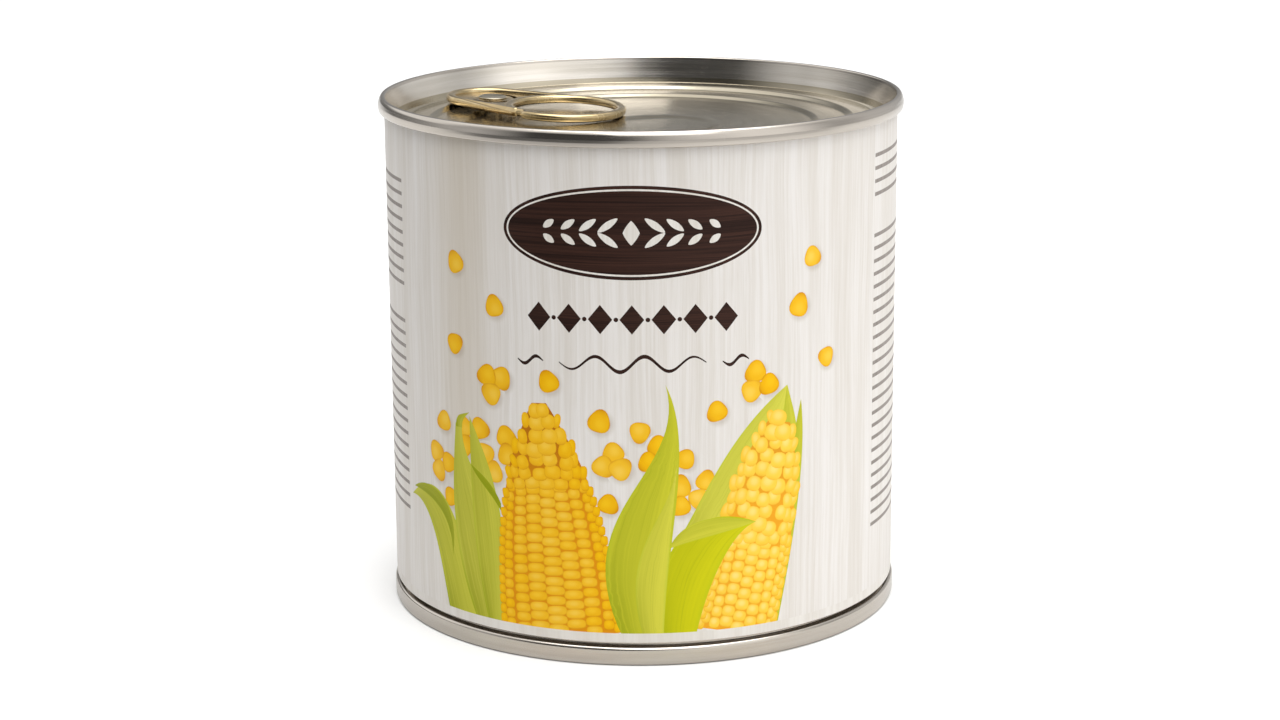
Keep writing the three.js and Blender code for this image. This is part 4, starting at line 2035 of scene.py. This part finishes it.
    def _paint_places(
        self, mesh: Mesh, flat: Array, shapes: list[PrintedShape], owner: list[int]
    ) -> None:
        """Writes each corner's place on the label and in its printed shape.

        Args:
            mesh: The sheet's mesh.
            flat: The flat sheet's points.
            shapes: The printed shapes.
            owner: The shape that each printed face belongs to.
        """
        corner_vertex = np.zeros(len(mesh.loops), np.int32)
        mesh.loops.foreach_get("vertex_index", corner_vertex)
        sheet_place = flat[corner_vertex % len(flat)]
        inner = np.zeros((len(mesh.loops), 3), np.float32)
        inner[:, :2] = nowhere(sheet_place)
        face_owner = np.repeat(np.array(owner), 3)
        for number in np.unique(face_owner):
            corners = np.nonzero(face_owner == number)[0]
            inner[corners, :2] = shapes[number].place(sheet_place[corners])
            inner[corners, 2] = shapes[number].tone
        layout = np.zeros((len(mesh.loops), 3), np.float32)
        layout[:, :2] = sheet_place
        layout[:len(face_owner), 2] = np.array([shape.rich for shape in shapes])[face_owner]
        for name, values in ((PLACE, inner), (FLAT, layout)):
            attribute = mesh.attributes.new(name, "FLOAT_VECTOR", "CORNER")
            attribute.data.foreach_set("vector", values.ravel())

    def _set_normals(self, mesh: Mesh, printed: int) -> None:
        """Gives the printed side the normals of a true cylinder.

        Args:
            mesh: The sheet's mesh.
            printed: How many of its faces, the first ones, are printed.
        """
        normals = []
        for number, face in enumerate(mesh.polygons):
            for vertex in face.vertices:
                if number < printed:
                    place = mesh.vertices[vertex].co
                    normals.append(Vector((place.x, place.y, 0)).normalized())
                else:
                    normals.append(face.normal.copy())
        mesh.normals_split_custom_set(normals)


# ---- studio ----


@dataclass(frozen=True)
class Glow:
    """How bright the studio is in one direction, in degrees to the right of the front."""

    bearing: float
    level: float


@dataclass
class Studio:
    """A pale floor and soft light round the can, with one dim side."""

    floor_radius: float = 6.0
    floor_colour: Colour = (0.86, 0.86, 0.855, 1.0)
    floor_tooth: Colour = (0.88, 0.88, 0.875, 1.0)
    floor_roughness: float = 0.75
    overhead: float = 1.25
    # The shares below paint shade onto the floor, which only the can's reflections see.
    dim_share: float = 0.47  # of the floor's paint, as the can sees it on the left
    bright_share: float = 0.84  # and on the right
    dark_share: float = 0.25  # of that, on the side that reflects dark
    far_share: float = 0.66  # of that, at arm's length from the can
    behind_share: float = 0.8  # of the paint behind the can
    dark_bearing: float = math.radians(-42)  # the middle of the side that reflects dark
    left_bearing: float = math.radians(-125)  # the middle of a raised bright patch
    left_level: float = 1.05
    behind_camera: Colour = (1.0, 1.0, 1.0, 1.0)

    RAMP_RANGE = 2.0  # a ramp's colours stop at 1, so they stand for this much
    GLOWS = (
        Glow(-180, 0.3), Glow(-140, 0.12), Glow(-118, 0.28), Glow(-95, 0.45), Glow(-78, 0.55),
        Glow(-66, 0.4), Glow(-50, 0.06), Glow(-12, 0.05), Glow(-2, 0.15), Glow(9, 0.6),
        Glow(20, 0.85), Glow(34, 1.05), Glow(50, 1.3), Glow(68, 1.2), Glow(82, 0.75),
        Glow(94, 0.52), Glow(115, 0.68), Glow(140, 0.6), Glow(180, 0.3),
    )

    def build(self) -> None:
        """Lays the floor and sets the light."""
        self._floor()
        self._world()
        self._lamp("overhead_softbox", (0.1, -0.1, 1.3), 1.2, 13.0)
        self._lamp("front_softbox", (0.12, -0.68, 0.84), 0.7, 2.0)
        scene = bpy.context.scene
        scene.view_settings.view_transform = "Standard"
        scene.view_settings.look = "None"

    def _floor(self) -> None:
        """A plain pale floor, which isn't part of the can."""
        points = [Vector((*p, 0)) for p in circle((0, 0), self.floor_radius, 96)]
        mesh = bpy.data.meshes.new("floor")
        mesh.from_pydata(points, [], [list(range(len(points)))])
        mesh.materials.append(self._floor_paint())
        floor = bpy.data.objects.new("floor", mesh)
        bpy.context.scene.collection.objects.link(floor)
        floor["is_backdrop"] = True

    def _floor_paint(self) -> Material:
        """Pale paint, which the can reflects darker than the camera sees it: painted shade that only
        the can's reflections show.
        """
        material, board, shader = new_material("floor_paint")
        tooth = board.noise(board.place(), scale=30.0)
        colour = board.blend(tooth, self.floor_colour, self.floor_tooth)
        dimmed = board.vector("SCALE", colour)
        board.feed(dimmed.node.inputs["Scale"], self._floor_share(board))
        seen = board.node("ShaderNodeLightPath").outputs["Is Camera Ray"]
        board.feed(shader.inputs["Base Color"], board.blend(seen, dimmed, colour))
        shader.inputs["Roughness"].default_value = self.floor_roughness
        return material

    def _floor_share(self, board: Board) -> NodeSocket:
        """The painted shade on the floor: how much of its paint the can sees at each place.

        Args:
            board: The paint's board, whose places are in metres.

        Returns:
            The share of the paint.
        """
        place = board.place()
        x, y, _ = board.split(place)
        reach = board.vector("LENGTH", place)
        share = board.rise(x, -0.12, 0.12, self.dim_share, self.bright_share)
        facing = board.vector(
            "DOT_PRODUCT", board.vector("NORMALIZE", place), towards(self.dark_bearing)
        )
        # A painted shadow on the floor towards the dark side, near the can.
        shadow = board.times(board.rise(facing, 0.72, 0.97), board.rise(reach, 0.12, 0.32))
        share = board.times(share, board.rise(shadow, 0.0, 1.0, bottom=1.0, top=self.dark_share))
        share = board.times(share, board.rise(reach, 0.08, 0.32, bottom=1.0, top=self.far_share))
        behind = board.rise(y, -0.14, 0.08)
        return board.plus(board.times(share, board.less(1.0, behind)),
                          board.times(behind, self.behind_share))

    def _world(self) -> None:
        """Light from all round, brighter to the right of the front and dim to its left."""
        world = bpy.data.worlds.new("studio")
        bpy.context.scene.world = world
        world.use_nodes = True
        world.node_tree.nodes.clear()
        board = Board(world.node_tree)
        x, y, z = board.split(board.node("ShaderNodeTexCoord").outputs["Generated"])
        bearing = board.maths("ARCTAN2", x, board.times(y, -1.0))
        share = board.plus(board.maths("DIVIDE", bearing, 2 * math.pi), 0.5)
        around = board.blend(1.0, self._glow_ramp(board, share), grey(self.RAMP_RANGE), "MULTIPLY")
        facing = board.vector(
            "DOT_PRODUCT", board.vector("NORMALIZE", board.joined(x, y)), towards(self.left_bearing)
        )
        patch = board.times(board.rise(facing, 0.77, 0.95), board.rise(z, 0.17, 0.3))
        around = board.blend(patch, around, grey(self.left_level))
        sky = board.blend(board.rise(z, 0.55, 0.85), around, grey(self.overhead))
        seen = board.node("ShaderNodeLightPath").outputs["Is Camera Ray"]
        colour = board.blend(seen, sky, self.behind_camera)
        light = board.node("ShaderNodeBackground", {"Color": colour, "Strength": 1.0})
        board.node("ShaderNodeOutputWorld", {"Surface": light.outputs[0]})

    def _glow_ramp(self, board: Board, share: NodeSocket) -> NodeSocket:
        """The glows all round the can.

        Args:
            board: The world's board.
            share: The direction, 0 to 1 once round the can with the front at 0.5.

        Returns:
            The light's colour in that direction, divided by the ramp's range.
        """
        ramp = board.node("ShaderNodeValToRGB", {0: share})
        stops = ramp.color_ramp.elements
        while len(stops) < len(self.GLOWS):
            stops.new(0.5)
        for stop, glow in zip(stops, self.GLOWS):
            stop.position = glow.bearing / 360 + 0.5
            stop.color = grey(glow.level / self.RAMP_RANGE)
        return ramp.outputs[0]

    def _lamp(self, name: str, place: Sequence[float], size: float, power: float) -> None:
        """A square soft light that faces the can.

        Args:
            name: Its name.
            place: Where it hangs, in metres.
            size: Its side, in metres.
            power: Its power, in watts.
        """
        data = bpy.data.lights.new(name, "AREA")
        data.shape, data.size, data.energy = "SQUARE", size, power
        lamp = bpy.data.objects.new(name, data)
        lamp.location = place
        lamp.rotation_mode = "QUATERNION"
        lamp.rotation_quaternion = Vector(place).to_track_quat("Z", "Y")
        bpy.context.scene.collection.objects.link(lamp)


@dataclass(frozen=True)
class ViewPoint:
    """Where the photograph was taken from."""

    focal_px: float = 2716.0
    distance: float = 459.7
    elevation: float = math.radians(13.96)
    roll: float = -0.0068
    aim_height: float = 39.1
    offset_px: float = 2.6
    nearest: float = 0.01  # what the camera sees, in metres
    farthest: float = 50.0

    def build(self) -> None:
        """Makes the scene's camera."""
        data = bpy.data.cameras.new("photo_camera")
        data.sensor_width = SENSOR_WIDTH
        data.lens = self.focal_px * SENSOR_WIDTH / PHOTO_WIDTH
        data.shift_x = -self.offset_px / PHOTO_WIDTH
        data.clip_start, data.clip_end = self.nearest, self.farthest
        back = Vector((0, -math.cos(self.elevation), math.sin(self.elevation)))
        camera = bpy.data.objects.new("photo_camera", data)
        camera.location = (back * self.distance + Vector((0, 0, self.aim_height))) * MM
        camera.rotation_mode = "QUATERNION"
        level = back.to_track_quat("Z", "Y")
        camera.rotation_quaternion = level @ Matrix.Rotation(self.roll, 3, "Z").to_quaternion()
        bpy.context.scene.collection.objects.link(camera)
        bpy.context.scene.camera = camera


# ---- the can ----


def main() -> None:
    """Builds the camera, the studio and the can's pieces."""
    logging.basicConfig(level=logging.INFO, format="%(name)s %(message)s")
    ViewPoint().build()
    Studio().build()
    effects = Effects()
    seam = MetalFinish(
        "seam_tinplate", light=(0.64, 0.59, 0.53, 1), dark=(0.52, 0.475, 0.42, 1),
        roughness=0.16, run=Run.ROUND,
    ).build(effects)
    # A darker copy of the tinplate for the panel, which the rivet shares: painted shade for their dim
    # reflection.
    panel = MetalFinish(
        "panel_shaded_tinplate", light=(0.55, 0.495, 0.39, 1), dark=(0.45, 0.40, 0.30, 1),
        roughness=0.17, run=Run.ROUND,
    ).build(effects)
    # A brighter copy of the tinplate for the chuck wall: a painted bright reflection.
    drawn = MetalFinish(
        "chuck_wall_sheen_tinplate", light=(0.86, 0.81, 0.74, 1), dark=(0.70, 0.65, 0.57, 1),
        roughness=0.16, run=Run.ROUND,
    ).build(effects)
    lacquer = MetalFinish(
        "gold_lacquer", light=(0.60, 0.47, 0.27, 1), dark=(0.44, 0.34, 0.18, 1),
        roughness=0.19, run=Run.STRAIGHT, wear=0.7, coat=0.15,
    ).build(effects)
    lathe = Lathe()
    Wall().build(lathe, seam)
    BottomEnd().build(lathe, seam)
    TopEnd().build(lathe, seam, panel, drawn)
    tab = PullTab()
    tab.build(lacquer)
    tab.build_rivet(lathe, panel)
    Label().build(Artwork(), [PrintFinish(ink).build(effects) for ink in Ink])
    boxes = {"cad": cad_box, "visual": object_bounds()}
    {name: [list(corner) for corner in box] for name, box in boxes.items()}


if __name__ == "__main__":
    main()
